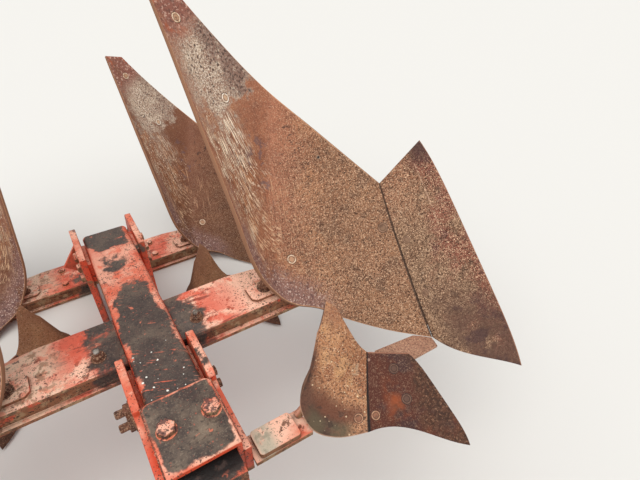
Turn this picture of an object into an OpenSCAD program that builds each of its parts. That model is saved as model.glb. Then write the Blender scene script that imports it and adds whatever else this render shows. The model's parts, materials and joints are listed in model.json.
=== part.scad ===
// Two-furrow mounted reversible moldboard plough, turned half way over.
// Both sets of bodies lie out to the sides with their moldboards facing up,
// the rear bodies rest on their landsides and a stand carries the front.
// +X is the right-hand side, +Y the rear, +Z up. The turnover axis runs along Y
// through the middle of the beam, and the floor is at the rear landsides.

/* [Layout] */
// Distance from one body to the next along the beam
body_pitch = 840; // [800:5:950]
// Furrow width, by which the rear body lies lower than the front one
furrow = 390; // [350:5:420]
// Height of the share tips below the turnover axis, when at work
tip_reach = 775; // [740:5:820]
// Height of the turnover axis above the floor
axis_z = 412; // [400:1:430]

/* [Beam] */
// Outer width and height of the square beam tube
beam_w = 131; // [120:1:140]
// Radius of the beam's corners
beam_corner = 13; // [8:1:18]
// Wall of the beam tube
beam_wall = 10; // [8:1:14]
// Rear end of the beam
beam_end = 475; // [450:5:520]
// Wall of the clamping sleeve ahead of the beam
sleeve_wall = 10; // [8:1:14]
// Length of the clamping sleeve
sleeve_len = 182; // [150:2:220]
// Rear end of the sleeve
sleeve_end = -220; // [-250:5:-200]
// Thickness of the cheek plates and of the step plates
cheek_t = 18; // [12:1:20]
// Height of the cheeks' and steps' tabs above the turnover axis
tab_h = 78; // [70:1:85]

/* [Legs] */
// Width of a leg along the beam
leg_w = 163; // [140:1:180]
// Thickness of a leg
leg_t = 62; // [50:1:70]
// Distance of the leg's centre line behind the row's zero
leg_y = 20.5; // [0:0.5:40]
// Height above the share's edge at which a leg ends on its frog
leg_u = 270; // [260:2:300]
// Thickness of each of the leg's two plates
leg_plate = 12; // [8:1:16]
// Depth of the recess between the leg's two plates
leg_inset = 12; // [6:1:20]
// Thickness of the raised block on a leg
block_t = 9; // [5:1:14]

/* [Bodies] */
// Thickness of a moldboard
board_t = 9; // [6:1:12]
// Thickness of a share at its seam
share_t = 11; // [8:1:14]
// Thickness of the landside plate
land_t = 12; // [10:1:16]
// Width of the landside plate
land_w = 110; // [80:5:130]
// Length of the landside plate
land_len = 560; // [450:10:650]
// Radius of the stay behind a moldboard
stay_r = 15; // [10:1:20]

/* [Skimmers] */
// Width of a skimmer's arm
arm_w = 66; // [50:1:75]
// Thickness of a skimmer arm's base plate
arm_t = 12; // [8:1:16]
// Thickness of the pad on a skimmer's arm
arm_pad = 14; // [8:1:18]
// Height above the share's edge at which a skimmer's arm ends
arm_u = 538; // [530:1:550]
// Distance of a skimmer arm ahead of the row's zero
arm_y = 384; // [370:1:395]
// Thickness of a skimmer's blades
skim_t = 6; // [5:1:9]
// Distance by which the rear skimmers are set nearer to the beam
skim_in = 37; // [0:1:60]

/* [Headstock] */
// Radius of the turnover shaft
shaft_r = 40; // [30:1:45]
// Outer radius of the bearing housing
housing_r = 66; // [60:1:70]
// Rear face of the bearing housing
housing_end = -730; // [-760:1:-725]
// Length of the bearing housing
housing_len = 170; // [140:5:200]
// Thickness of each tower cheek
tower_t = 16; // [12:1:20]
// Inner width between the tower cheeks
tower_gap = 156; // [145:1:180]
// Height of the lower link pins above the floor
link_z = 255; // [230:5:290]
// Height of the top link bore above the lower link pins
mast_h = 610; // [560:5:660]
// Distance of the lower link pins ahead of the row's zero
link_y = 985; // [960:5:1010]
// Distance between the shoulders of the lower link pins
link_span = 825; // [780:5:850]
// Radius of the lower link pins
link_r = 14.2; // [10:0.1:18]
// Radius of the top link bore
top_r = 12.9; // [9:0.1:16]
// Outer radius of the cross tube
cross_r = 44; // [36:1:55]

/* [Cylinder] */
// Height of the cylinder's pivot above the turnover axis
pivot_h = 380; // [370:1:390]
// Radius of the crank that the rod drives
crank_r = 100; // [90:1:110]
// Outer radius of the barrel
barrel_r = 27; // [22:1:30]
// Radius of the rod
rod_r = 14; // [10:1:18]

/* [Stand] */
// Width of the square stand leg
stand_w = 50; // [40:1:60]
// Distance of the stand left of the turnover axis
stand_x = 250; // [220:5:300]

/* [Hidden] */
$fn = 48;
// Gap between pieces that seat on each other
seat = 0.3;
// Radial running clearance of a shaft in its bore
run = 0.05;
orange = [0.80, 0.33, 0.21];
worn = [0.36, 0.24, 0.19];
steel = [0.45, 0.43, 0.42];

// Half widths of the beam, the sleeve and the outside of the cheeks
beam_h = beam_w / 2;
sleeve_h = beam_h + seat + sleeve_wall;
cheek_in = sleeve_h + seat;
cheek_out = cheek_in + cheek_t;
leg_x = cheek_out + seat;
sleeve_front = sleeve_end - sleeve_len;
// Outer end of a leg, its front edge, and where and how fast its rear edge tapers
leg_end = tip_reach - leg_u - seat;
leg_front = leg_y - leg_w / 2;
leg_rear = leg_y + leg_w / 2;
taper_x = leg_end - 255;
taper = 0.14;
function leg_back(x) = leg_rear - max(x - taper_x, 0) * taper;
// Levels above a body's landside plane
leg_low = 3;
arm_low = 4;
// Front end of the shaft, thickness of its crank, and the cylinder's own plane,
// which stands clear ahead of the crank
shaft_front = housing_end - housing_len - 40;
crank_t = 18;
eye_w = 24;
eye_r = 30;
crank_pin_r = 13;
cyl_y = shaft_front - crank_t - 5 - eye_w / 2;
barrel_len = 200;
pivot_r = 14;
// Front edge of the tower cheeks where the crank swings
notch_y = shaft_front + 10;
// Top link bore
top_z = link_z + mast_h;
top_y = -link_y - 25;
// Stand: its foot plate's width, and its middle ahead of the cross tube
foot_w = 140;
stand_gap = 35;
// Share tip behind the row's zero, and slack of the tip above the landside plane
tip_y = -536;
tip_r = 6;

// Moldboard sections from the seam to the tail. Each row runs from the shin edge
// through a middle point to the wing edge, as height above the share's edge (u),
// distance behind the tip (b) and distance from the landside plane (r).
// columns: shin u, b, r, middle u, b, r, wing u, b, r
BOARD = [
    [132, 186, 10, 120, 344, 158, 105, 494, 318],
    [215, 266, 10, 182, 436, 168, 135, 568, 352],
    [290, 358, 12, 235, 522, 182, 165, 642, 387],
    [343, 412, 35, 278, 590, 205, 195, 716, 422],
    [406, 437, 62, 325, 638, 236, 222, 782, 453],
    [445, 462, 100, 358, 674, 268, 246, 832, 481],
    [485, 490, 190, 390, 698, 334, 275, 850, 515],
    [502, 555, 339, 418, 732, 436, 318, 860, 567],
    [513, 674, 509, 446, 786, 556, 370, 864, 634],
    [522, 792, 673, 474, 840, 680, 422, 872, 705],
    [530, 880, 792, 502, 886, 784, 470, 888, 776]];
// Cutting edge of the share, from the tip to the wing, as u, b, r
SHARE_EDGE = [[0, 0, tip_r], [-17, 236, 216], [0, 472, 429]];
// Skimmer: the share's edge, the seam and the sections of its small moldboard,
// measured from the same zero as the body
SKIM_EDGE = [[267, -84, 8], [261, 24, 52], [276, 130, 98]];
SKIM_BOARD = [
    [440, 53, 16, 405, 112, 60, 364, 175, 112],
    [505, 78, 16, 440, 132, 72, 379, 186, 134],
    [545, 120, 22, 462, 158, 100, 392, 200, 166],
    [548, 168, 62, 470, 190, 136, 402, 216, 198],
    [510, 190, 120, 462, 214, 176, 410, 236, 226],
    [468, 226, 190, 448, 236, 214, 428, 254, 244]];

function mix(p, q, k) = p * (1 - k) + q * k;
function part3(row, i) = [row[i], row[i + 1], row[i + 2]];
// A point across a section, on a parabola through its middle point
function across(row, v) =
    let (a = part3(row, 0), m = part3(row, 3), c = part3(row, 6))
    a * (1 - v) * (1 - 2 * v) + m * 4 * v * (1 - v) + c * v * (2 * v - 1);
// A point at place s between the sections and v across them
function on_board(rows, s, v) =
    let (n = len(rows) - 1, i = min(floor(s), n - 1), f = s - i,
         p0 = across(rows[max(i - 1, 0)], v), p1 = across(rows[i], v),
         p2 = across(rows[i + 1], v), p3 = across(rows[min(i + 2, n)], v))
    0.5 * (2 * p1 + (p2 - p0) * f + (2 * p0 - 5 * p1 + 4 * p2 - p3) * f * f
        + (3 * p1 - p0 - 3 * p2 + p3) * f * f * f);
function unit(p) = p / norm(p);
// The way out of the board's back, from the differences along and across it
function back_way(rows, s, v) =
    let (n = len(rows) - 1, e = 0.05,
         ds = on_board(rows, min(s + e, n), v) - on_board(rows, max(s - e, 0), v),
         dv = on_board(rows, s, min(v + e, 1)) - on_board(rows, s, max(v - e, 0)),
         w = unit(cross(dv, ds)))
    (w[1] < 0) ? -w : w;
// Body measures (u, b, r) to the right-hand body's own place
function place(p) = [tip_reach - p[0], tip_y + p[1], p[2]];

// Rearmost and foremost points, and the middle between them, which is the origin
y_rear = body_pitch + tip_y + max([for (i = [0 : 8])
    (on_board(BOARD, len(BOARD) - 1, i / 8) + back_way(BOARD, len(BOARD) - 1, i / 8) * board_t)[1]]);
y_front = -link_y - cross_r - stand_gap - foot_w / 2;
y_mid = (y_rear + y_front) / 2;
module put() {
    translate([0, -y_mid, 0]) children();
}

// A rectangle with round corners, in the middle of its place
module rounded(w, d, r) {
    square([w, d - 2 * r], center = true);
    square([w - 2 * r, d], center = true);
    for (x = [-1, 1]) for (y = [-1, 1])
        translate([x * (w / 2 - r), y * (d / 2 - r)]) circle(r = r);
}
// A profile drawn over y and z, with the thickness t from x onwards
module side_plate(x, t) {
    translate([x, 0, 0]) rotate([90, 0, 90]) linear_extrude(t) children();
}

// A closed shell between two equal grids of points, given as rows
module shell(front, back) {
    nr = len(front);
    nc = len(front[0]);
    pts = concat([for (row = front) for (p = row) place(p)],
        [for (row = back) for (p = row) place(p)]);
    off = nr * nc;
    function at(i, j) = i * nc + j;
    quads = concat(
        [for (i = [0 : nr - 2]) for (j = [0 : nc - 2])
            [at(i, j), at(i, j + 1), at(i + 1, j + 1), at(i + 1, j)]],
        [for (i = [0 : nr - 2]) for (j = [0 : nc - 2])
            [off + at(i, j), off + at(i + 1, j), off + at(i + 1, j + 1), off + at(i, j + 1)]],
        [for (i = [0 : nr - 2]) [at(i, 0), at(i + 1, 0), off + at(i + 1, 0), off + at(i, 0)]],
        [for (i = [0 : nr - 2]) [at(i + 1, nc - 1), at(i, nc - 1),
            off + at(i, nc - 1), off + at(i + 1, nc - 1)]],
        [for (j = [0 : nc - 2]) [at(0, j + 1), at(0, j), off + at(0, j), off + at(0, j + 1)]],
        [for (j = [0 : nc - 2]) [at(nr - 1, j), at(nr - 1, j + 1),
            off + at(nr - 1, j + 1), off + at(nr - 1, j)]]);
    tris = [for (q = quads) each [[q[0], q[2], q[1]], [q[0], q[3], q[2]]]];
    polyhedron(points = pts, faces = tris, convexity = 6);
}

// Steps of a board's grid, along and across it, and its start behind the seam
BIG = [28, 14];
SMALL = [16, 8];
seam = 0.025;
function s_at(rows, n, i) = seam + (len(rows) - 1 - seam) * i / n[0];
// A patch of the board from step i0 to i1 along it and j0 to j1 across it,
// between the depths a and b behind its face
module board_patch(rows, n, i0, i1, j0, j1, a, b) {
    function grid(d) = [for (i = [i0 : i1]) let (s = s_at(rows, n, i))
        [for (j = [j0 : j1]) let (p = on_board(rows, s, j / n[1])
            + back_way(rows, s, j / n[1]) * d) [p[0], p[1], max(p[2], 1)]]];
    shell(grid(a), grid(b));
}
// A point of the board at a grid step and a depth behind its face, in place
function behind(rows, n, i, j, d) =
    let (s = s_at(rows, n, i), v = j / n[1], w = back_way(rows, s, v))
    place(on_board(rows, s, v)) + [-w[0], w[1], w[2]] * d;
module rod_between(p, q, r) {
    d = q - p;
    translate(p) rotate([0, acos(d[2] / norm(d)), atan2(d[1], d[0])])
        cylinder(r = r, h = norm(d));
}

// One end of the plough's row of bodies: which side, which row
module at_body(side, row) {
    translate([0, row * body_pitch, (1 - row) * furrow])
        if (side > 0) children();
        else mirror([1, 0, 0]) children();
}
// The same for a skimmer, which the rear bodies carry nearer to the beam
module at_skimmer(side, row) {
    at_body(side, row) translate([-row * skim_in, 0, 0]) children();
}

module moldboard(side, row) {
    color(worn) at_body(side, row)
        board_patch(BOARD, BIG, 0, BIG[0], 0, BIG[1], 0, board_t);
}

// The share runs from its thin cutting edge, worn blunt at both corners, to the
// seam, where it meets the moldboard. Its lower side swells near the seam, and
// that of a skimmer is hollowed.
side_bulge = 12;
skim_hollow = -16;
blunt = 5;
function on_share(edge, rows, bulge, v, k) =
    let (e = mix(edge[0], edge[2], v)
             + (edge[1] - mix(edge[0], edge[2], 0.5)) * (1 - pow(abs(2 * v - 1), blunt)),
         q = mix(e, on_board(rows, 0, v), k))
    q + [1, -1, 0] * bulge * pow(1 - v, 3) * 6.7 * k * k * (1 - k);
module share_shell(edge, rows, thick, bulge, nv) {
    nk = 6;
    function front(v) = [for (k = [0 : nk]) on_share(edge, rows, bulge, v, k / nk)];
    function back(v) = let (w = back_way(rows, 0.1, v))
        [for (k = [0 : nk]) let (p = on_share(edge, rows, bulge, v, k / nk)
            + w * thick * (0.25 + 0.75 * k / nk)) [p[0], p[1], max(p[2], 1)]];
    // Steps across the share, closer to each other near its ends
    vs = [for (j = [0 : nv]) (1 + cos(180 * j / nv)) / 2];
    shell([for (v = vs) front(v)], [for (v = vs) back(v)]);
}
module share(side, row) {
    color(worn) at_body(side, row)
        share_shell(SHARE_EDGE, BOARD, share_t, side_bulge, 12);
}

// Landside plate, on the furrow wall's side of the body, with a slanted heel,
// and the shin plate that reaches ahead of the moldboard's lower edge
land_u = 15;
land_b = 215;
heel = 45;
shin_gap = 0.6;
shin_low = 2;
shin_t = 8;
// Sides of the shin bar away from the board, as [u, b]
SHIN_SIDE = [[172, 219], [290, 231], [290, 158], [139, 158]];
shin_steps = 1;
function ahead(i) = let (p = on_board(BOARD, s_at(BOARD, BIG, i), 0),
    t = unit(on_board(BOARD, s_at(BOARD, BIG, i + 1), 0) - p))
    [p[0] + t[1] * shin_gap, p[1] - t[0] * shin_gap];
module landside(side, row) {
    color(worn) at_body(side, row) {
        translate([tip_reach - land_u - land_w, tip_y + land_b, 0])
            linear_extrude(land_t) polygon([[0, 30], [40, 0], [land_w, 0],
                [land_w, land_len - heel], [land_w - heel, land_len], [0, land_len]]);
        translate([0, 0, shin_low]) linear_extrude(shin_t)
            polygon([for (p = concat([for (i = [0 : shin_steps]) ahead(i)], SHIN_SIDE))
                [tip_reach - p[0], tip_y + p[1]]]);
    }
}

// Frog: a plate over the landside, a backing under the board and two ribs
FROG = [[25, 235], [120, 330], [215, 420], [leg_u, 500], [leg_u, 620], [90, 620], [25, 480]];
FROG_RIB = [[-60, 0], [80, 0], [60, 30], [-10, 125], [-60, 60]];
frog_t = 26;
rib_t = 14;
module frog(side, row) {
    low = land_t + seat;
    color(orange) at_body(side, row) {
        translate([0, 0, low]) linear_extrude(frog_t)
            polygon([for (p = FROG) [tip_reach - p[0], tip_y + p[1]]]);
        board_patch(BOARD, BIG, 1, 7, 2, 6, board_t + seat, board_t + 14);
        for (u = [95, 215])
            translate([0, leg_front + 45, low]) side_plate(tip_reach - u - rib_t / 2, rib_t)
                polygon(FROG_RIB);
    }
}

// Leg: a top and a bottom plate on a recessed core, and a raised block with
// chamfered corners. The front legs run up to the beam, the rear ones to the steps.
block_in = 232;
block_out = 118;
block_chamfer = 12;
module leg_plan(x0, inset) {
    polygon([[x0, leg_front + inset], [leg_end - inset, leg_front + inset],
        [leg_end - inset, leg_back(leg_end) - inset], [taper_x, leg_rear - inset],
        [x0, leg_rear - inset]]);
}
module leg(side, row) {
    x0 = (row == 0) ? beam_h + seat : leg_x;
    x1 = leg_end - block_in;
    x2 = leg_end - block_out;
    y0 = leg_front + 20;
    y1 = leg_front + 92;
    c = block_chamfer;
    color(orange) at_body(side, row) translate([0, 0, leg_low]) {
        linear_extrude(leg_plate) leg_plan(x0, 0);
        translate([0, 0, leg_t - leg_plate]) linear_extrude(leg_plate) leg_plan(x0, 0);
        linear_extrude(leg_t) leg_plan(x0, leg_inset);
        linear_extrude(leg_t + block_t)
            polygon([[x1 + c, y0], [x2, y0], [x2, y1], [x1 + 3 * c, y1], [x1 + 3 * c, y1 - c],
                [x1, y1 - c], [x1, y0 + c]]);
    }
}

// Stay from the leg's rear edge to the back of the moldboard, with its pad
// and a long nut in the middle to set it
stay_foot = [leg_end - 140, leg_end - 60];
module stay(side, row) {
    pad = behind(BOARD, BIG, 18, 8, board_t + 0.9);
    head = behind(BOARD, BIG, 18, 8, board_t + 26);
    gap = seat + 0.1;
    foot = [(stay_foot[0] + stay_foot[1]) / 2, leg_back(stay_foot[0]) + 8, leg_low + leg_t / 2];
    mid = mix(foot, head, 0.5);
    way = unit(head - foot);
    color(orange) at_body(side, row) {
        rod_between(pad, head + unit(head - pad) * 4, stay_r);
        rod_between(foot, head, stay_r);
        rod_between(mid - way * 40, mid + way * 40, stay_r + 6);
        translate([0, 0, leg_low]) linear_extrude(leg_t)
            polygon([[stay_foot[0], leg_back(stay_foot[0]) + gap],
                [stay_foot[1], leg_back(stay_foot[1]) + gap],
                [stay_foot[1], leg_back(stay_foot[1]) + gap + 14],
                [stay_foot[0], leg_back(stay_foot[0]) + gap + 14]]);
    }
}

// Arm of a skimmer: base plate with a slanted end, pad, and the bracket that
// holds the skimmer's board from behind
pad_r = 8;
bracket_t = 8;
bracket_r = 10;
module arm(side, row) {
    x0 = leg_x + row * skim_in;
    x1 = tip_reach - arm_u;
    h = arm_w / 2;
    pad_l = x1 - 33 - x0 - 13;
    color(orange) at_skimmer(side, row) {
        translate([0, -arm_y, arm_low]) {
            linear_extrude(arm_t)
                polygon([[x0, -h], [x1 - 6, -h], [x1, -h + 12], [x1 - 12, h], [x0, h]]);
            translate([x1 - 33 - pad_l / 2, 0, 0]) linear_extrude(arm_t + arm_pad)
                rounded(pad_l, arm_w - 4, pad_r);
        }
        board_patch(SKIM_BOARD, SMALL, 3, 8, 3, 6, skim_t + seat, skim_t + bracket_t);
        rod_between([x1 - 16, -arm_y + 20, arm_low + bracket_r],
            behind(SKIM_BOARD, SMALL, 6, 5, skim_t + 11), bracket_r);
    }
}
module skimmer_board(side, row) {
    color(worn) at_skimmer(side, row)
        board_patch(SKIM_BOARD, SMALL, 0, SMALL[0], 0, SMALL[1], 0, skim_t);
}
module skimmer_share(side, row) {
    color(worn) at_skimmer(side, row)
        share_shell(SKIM_EDGE, SKIM_BOARD, skim_t, skim_hollow, 10);
}

// Turnover shaft with its rear flange, the nose block that the sleeve clamps,
// a collar and the crank ahead of the bearing
flange_r = 77;
flange_t = 22;
nose_in = 38;
nose_out = 44;
nose_low = 22;
collar_r = shaft_r + 18;
crank_w = 35;
BOLTS = 8;
module turnover_shaft() {
    color(steel) translate([0, 0, axis_z]) rotate([-90, 0, 0]) {
        translate([0, 0, shaft_front]) cylinder(r = shaft_r, h = sleeve_front - shaft_front);
        translate([0, 0, shaft_front + 8]) cylinder(r = collar_r, h = 30);
        translate([0, 0, housing_end + 2]) difference() {
            cylinder(r = flange_r, h = flange_t);
            for (i = [0 : BOLTS - 1]) rotate((i + 0.5) * 360 / BOLTS)
                translate([shaft_r + 22, 0, -1]) cylinder(r = 6.5, h = flange_t + 2);
        }
        translate([0, 0, sleeve_front - nose_out]) linear_extrude(nose_in + nose_out)
            translate([-beam_h, nose_low - beam_h]) square([beam_w, beam_w - 2 * nose_low]);
    }
    color(orange) translate([0, shaft_front, axis_z]) rotate([90, 0, 0])
        linear_extrude(crank_t) {
            polygon([[-shaft_r, 0], [shaft_r, 0], [crank_w, crank_r], [-crank_w, crank_r]]);
            circle(r = shaft_r);
            translate([0, crank_r]) circle(r = crank_w);
        }
}

// Clamping sleeve: side walls and floor in one, and a top plate whose rear
// corners are round
sleeve_corner = 16;
module sleeve() {
    w = 2 * sleeve_h;
    in = 2 * (beam_h + seat);
    color(orange) translate([0, 0, axis_z]) {
        translate([0, sleeve_end, 0]) rotate([90, 0, 0]) linear_extrude(sleeve_len)
            difference() {
                translate([-sleeve_h, -sleeve_h]) square([w, w - sleeve_wall]);
                square(in, center = true);
            }
        translate([0, 0, beam_h + seat]) linear_extrude(sleeve_wall) {
            translate([-sleeve_h, sleeve_front]) square([w, sleeve_len - sleeve_corner]);
            translate([-sleeve_h + sleeve_corner, sleeve_front])
                square([w - 2 * sleeve_corner, sleeve_len]);
            for (k = [-1, 1])
                translate([k * (sleeve_h - sleeve_corner), sleeve_end - sleeve_corner])
                    circle(r = sleeve_corner);
        }
    }
}

// Beam: a square tube with round corners and a plate in its rear end
cap_t = 8;
beam_start = sleeve_front + nose_in + 16;
module beam() {
    color(orange) translate([0, beam_end, axis_z]) rotate([90, 0, 0]) {
        linear_extrude(beam_end - beam_start) difference() {
            rounded(beam_w, beam_w, beam_corner);
            rounded(beam_w - 2 * beam_wall, beam_w - 2 * beam_wall, beam_corner - 9);
        }
        translate([0, 0, 4]) linear_extrude(cap_t)
            square(beam_w - 2 * beam_wall + 2, center = true);
    }
}

// Cheek: its strip beside the sleeve carries the skimmer's arm, its tab stands up
// between the sleeve and the leg, and a bar joins it to the beam
cheek_low = 50;
strip_h = 40;
tab_chamfer = 12;
bar_h = 20;
module cheek(side) {
    c = tab_chamfer;
    y0 = sleeve_front;
    y1 = leg_front - seat;
    color(orange) mirror([side > 0 ? 0 : 1, 0, 0]) {
        side_plate(cheek_in, cheek_t) translate([0, axis_z])
            polygon([[y0, -cheek_low], [y1, -cheek_low], [y1, tab_h - c], [y1 - c, tab_h],
                [sleeve_end + c, tab_h], [sleeve_end, tab_h - c], [sleeve_end, strip_h + c],
                [sleeve_end - c, strip_h], [y0, strip_h]]);
        side_plate(beam_h + seat, cheek_in - beam_h - seat + 1) translate([0, axis_z])
            polygon([[sleeve_end + 2, -bar_h], [y1, -bar_h], [y1, bar_h], [sleeve_end + 2, bar_h]]);
    }
}

// Step: a tall plate that drops from the beam to the rear leg, one furrow lower.
// The left one has a gusset on its outer face.
step_front = 355;
step_tab = 171;
step_knee = 150;
step_rear = 110;
module step(side) {
    c = tab_chamfer;
    y0 = step_front;
    y1 = step_front + step_tab;
    y2 = body_pitch + step_rear;
    color(orange) mirror([side > 0 ? 0 : 1, 0, 0]) {
        side_plate(cheek_in, cheek_t)
            polygon([[y0 + c, axis_z + tab_h], [y1 - c, axis_z + tab_h], [y1, axis_z + tab_h - c],
                [y1 + 25, axis_z], [y2 - 30, leg_low + leg_t + 40], [y2, leg_low + leg_t],
                [y2, leg_low], [y0 + 45, leg_low], [y0, step_knee], [y0, axis_z + tab_h - c]]);
        side_plate(beam_h + seat, cheek_in - beam_h - seat + 1) translate([0, axis_z])
            polygon([[y0 + 10, -2 * bar_h], [beam_end - 5, -2 * bar_h],
                [beam_end - 5, 2 * bar_h], [y0 + 10, 2 * bar_h]]);
        if (side < 0) translate([0, y1 - 50, 0]) rotate([90, 0, 0]) linear_extrude(10)
            polygon([[cheek_out - 1, axis_z + 52], [cheek_out + 48, axis_z - 16],
                [cheek_out - 1, axis_z - 60]]);
    }
}
// Two tubes that hold the steps apart
SPREAD = [[body_pitch + leg_y, 35, 25], [640, 190, 22]];
module spreader() {
    color(orange) for (p = SPREAD) translate([0, p[0], p[1]]) rotate([0, 90, 0])
        cylinder(r = p[2], h = 2 * (cheek_in - seat), center = true);
}

// Bearing housing with a flange at each end, on blocks between the towers
ring_t = 16;
module bearing_housing() {
    color(orange) difference() {
        union() {
            translate([0, housing_end, axis_z]) rotate([90, 0, 0]) {
                cylinder(r = housing_r, h = housing_len);
                for (y = [0, housing_len - ring_t])
                    translate([0, 0, y]) cylinder(r = housing_r + 9, h = ring_t);
            }
            translate([-tower_gap / 2 + seat, housing_end - housing_len + 20, axis_z - 45])
                cube([tower_gap - 2 * seat, housing_len - 40, 90]);
        }
        translate([0, housing_end + 1, axis_z]) rotate([90, 0, 0])
            cylinder(r = shaft_r + run, h = housing_len + 2);
    }
}

// Tower cheek with its stiffening rib on the outside
rib_w = 14;
rib_h = 9;
hole_r = 24;
hole_in = 62;
hole_low = 175;
hole_step = 90;
module tower(side) {
    y_mast = -link_y + 85;
    y_back = housing_end - 10;
    color(orange) mirror([side > 0 ? 0 : 1, 0, 0]) {
        side_plate(tower_gap / 2, tower_t) difference() {
            polygon([[-link_y - 60, link_z - 60], [-link_y + 55, link_z - 60],
                [y_back, axis_z - 82], [y_back, axis_z + 88],
                [y_back - 70, axis_z + pivot_h - 20], [y_mast, top_z + 45],
                [-link_y - 45, top_z + 45], [-link_y - 65, top_z + 25],
                [-link_y - 65, top_z - 35],
                [cyl_y - 35, axis_z + pivot_h - 37], [notch_y - 5, axis_z + pivot_h - 92],
                [notch_y, axis_z + 190], [notch_y, axis_z - 82],
                [-link_y - 15, link_z + 63], [-link_y - 60, link_z + 45]]);
            translate([top_y, top_z]) circle(r = top_r);
            translate([-link_y, link_z]) circle(r = cross_r + seat);
            for (up = [hole_low, hole_low + hole_step])
                translate([y_back - hole_in, axis_z + up]) circle(r = hole_r);
        }
        side_plate(tower_gap / 2 + tower_t - 1, rib_h + 1)
            polygon([[y_back, axis_z - 60], [y_back, axis_z + 88],
                [y_back - 70, axis_z + pivot_h - 20], [y_mast, top_z + 45],
                [y_mast - rib_w, top_z + 45], [y_back - 70 - rib_w, axis_z + pivot_h - 23],
                [y_back - rib_w, axis_z + 86], [y_back - rib_w, axis_z - 60]]);
    }
}
// Tube between the tops of the towers
tie_r = 19;
tie_up = 22;
tie_back = 48;
tie_gap = 6.5;
module mast_tie() {
    color(orange) translate([0, -link_y + tie_back, top_z + tie_up]) rotate([0, 90, 0])
        cylinder(r = tie_r, h = tower_gap - 2 * seat, center = true);
}

// Cross tube with an end disc, a shoulder and a lower link pin at each end, and
// the stand's guide, a square tube on two flat straps
disc_r = cross_r + 8;
shoulder_r = 26;
shoulder = 25;
guide_h = 140;
guide_wall = 9.7;
module cross_tube() {
    end = link_span / 2 - shoulder;
    color(orange) translate([0, -link_y, link_z]) rotate([0, 90, 0]) {
        cylinder(r = cross_r, h = 2 * end - 2, center = true);
        for (k = [-1, 1]) translate([0, 0, k * (end - 5)])
            cylinder(r = disc_r, h = 10, center = true);
    }
    color(steel) for (k = [-1, 1]) translate([k * (end - 1), -link_y, link_z])
        rotate([0, k * 90, 0]) {
            cylinder(r = shoulder_r, h = shoulder + 1);
            cylinder(r = link_r, h = shoulder + 101);
        }
    color(orange) translate([-stand_x, -link_y - cross_r - stand_gap, link_z - guide_h / 2]) {
        linear_extrude(guide_h) difference() {
            square(stand_w + 2 * seat + 2 * guide_wall, center = true);
            square(stand_w + 2 * seat, center = true);
        }
        for (z = [25, guide_h - 37])
            translate([-stand_w / 2, stand_w / 2 + seat + 1, z])
                cube([stand_w, stand_gap - stand_w / 2 + 16, 12]);
    }
}

// Cross plate between the tower cheeks, with the pin that the cylinder hangs from
hang_t = 18;
hang_low = 15;
module cylinder_bracket() {
    hang_top = top_z + tie_up - tie_r - tie_gap - axis_z - pivot_h;
    color(orange) translate([0, cyl_y + eye_w / 2 + 3, axis_z + pivot_h]) {
        translate([-tower_gap / 2 + seat, 0, -hang_low])
            cube([tower_gap - 2 * seat, hang_t, hang_low + hang_top]);
        rotate([90, 0, 0]) {
            cylinder(r = pivot_r, h = eye_w + 12);
            translate([0, 0, eye_w + 6]) cylinder(r = pivot_r + 7, h = 6);
        }
    }
}
// Barrel with its upper eye, gland ring and two ports
gland = 24;
module cylinder_barrel() {
    color(orange) translate([0, cyl_y, axis_z + pivot_h])
        difference() {
            union() {
                translate([0, 0, -barrel_len]) cylinder(r = barrel_r, h = barrel_len - 34);
                translate([0, 0, -40]) cylinder(r = eye_w / 2 + 2, h = 20);
                translate([0, 0, -barrel_len]) cylinder(r = barrel_r + 5, h = gland);
                rotate([90, 0, 0]) cylinder(r = eye_r, h = eye_w, center = true);
                for (z = [-barrel_len + gland + 16, -55]) translate([0, 0, z])
                    rotate([90, 0, 0]) cylinder(r = 10, h = barrel_r + 9);
            }
            rotate([90, 0, 0]) cylinder(r = pivot_r + run, h = 3 * eye_w, center = true);
            translate([0, 0, -barrel_len - 1])
                cylinder(r = rod_r + run, h = barrel_len - eye_r - 12);
        }
}
// Rod with its lower eye and the pin in it, whose head is at the front
module cylinder_rod() {
    color(steel) translate([0, cyl_y, axis_z + crank_r]) {
        translate([0, 0, eye_r - 3]) cylinder(r = rod_r, h = pivot_h - crank_r - eye_r - 60);
        rotate([90, 0, 0]) {
            cylinder(r = eye_r, h = eye_w, center = true);
            cylinder(r = crank_pin_r, h = eye_w / 2 + 8);
            translate([0, 0, eye_w / 2 + 4]) cylinder(r = crank_pin_r + 6, h = 5);
        }
    }
}

// Parking stand: a square tube with a row of pin holes on a foot plate
stand_over = 305;
stand_len = link_z + stand_over;
stand_wall = 5;
foot_t = 10;
pin_hole = 8;
hole_pitch = 60;
module stand() {
    color(steel) translate([-stand_x, -link_y - cross_r - stand_gap, 0]) {
        difference() {
            linear_extrude(stand_len) square(stand_w, center = true);
            translate([0, 0, foot_t]) linear_extrude(stand_len)
                square(stand_w - 2 * stand_wall, center = true);
            for (z = [stand_len - 40 : -hole_pitch : link_z - guide_h]) translate([0, 0, z])
                rotate([0, 90, 0]) cylinder(r = pin_hole, h = stand_w + 2, center = true);
        }
        linear_extrude(foot_t) rounded(foot_w, foot_w, 18);
    }
}

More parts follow.
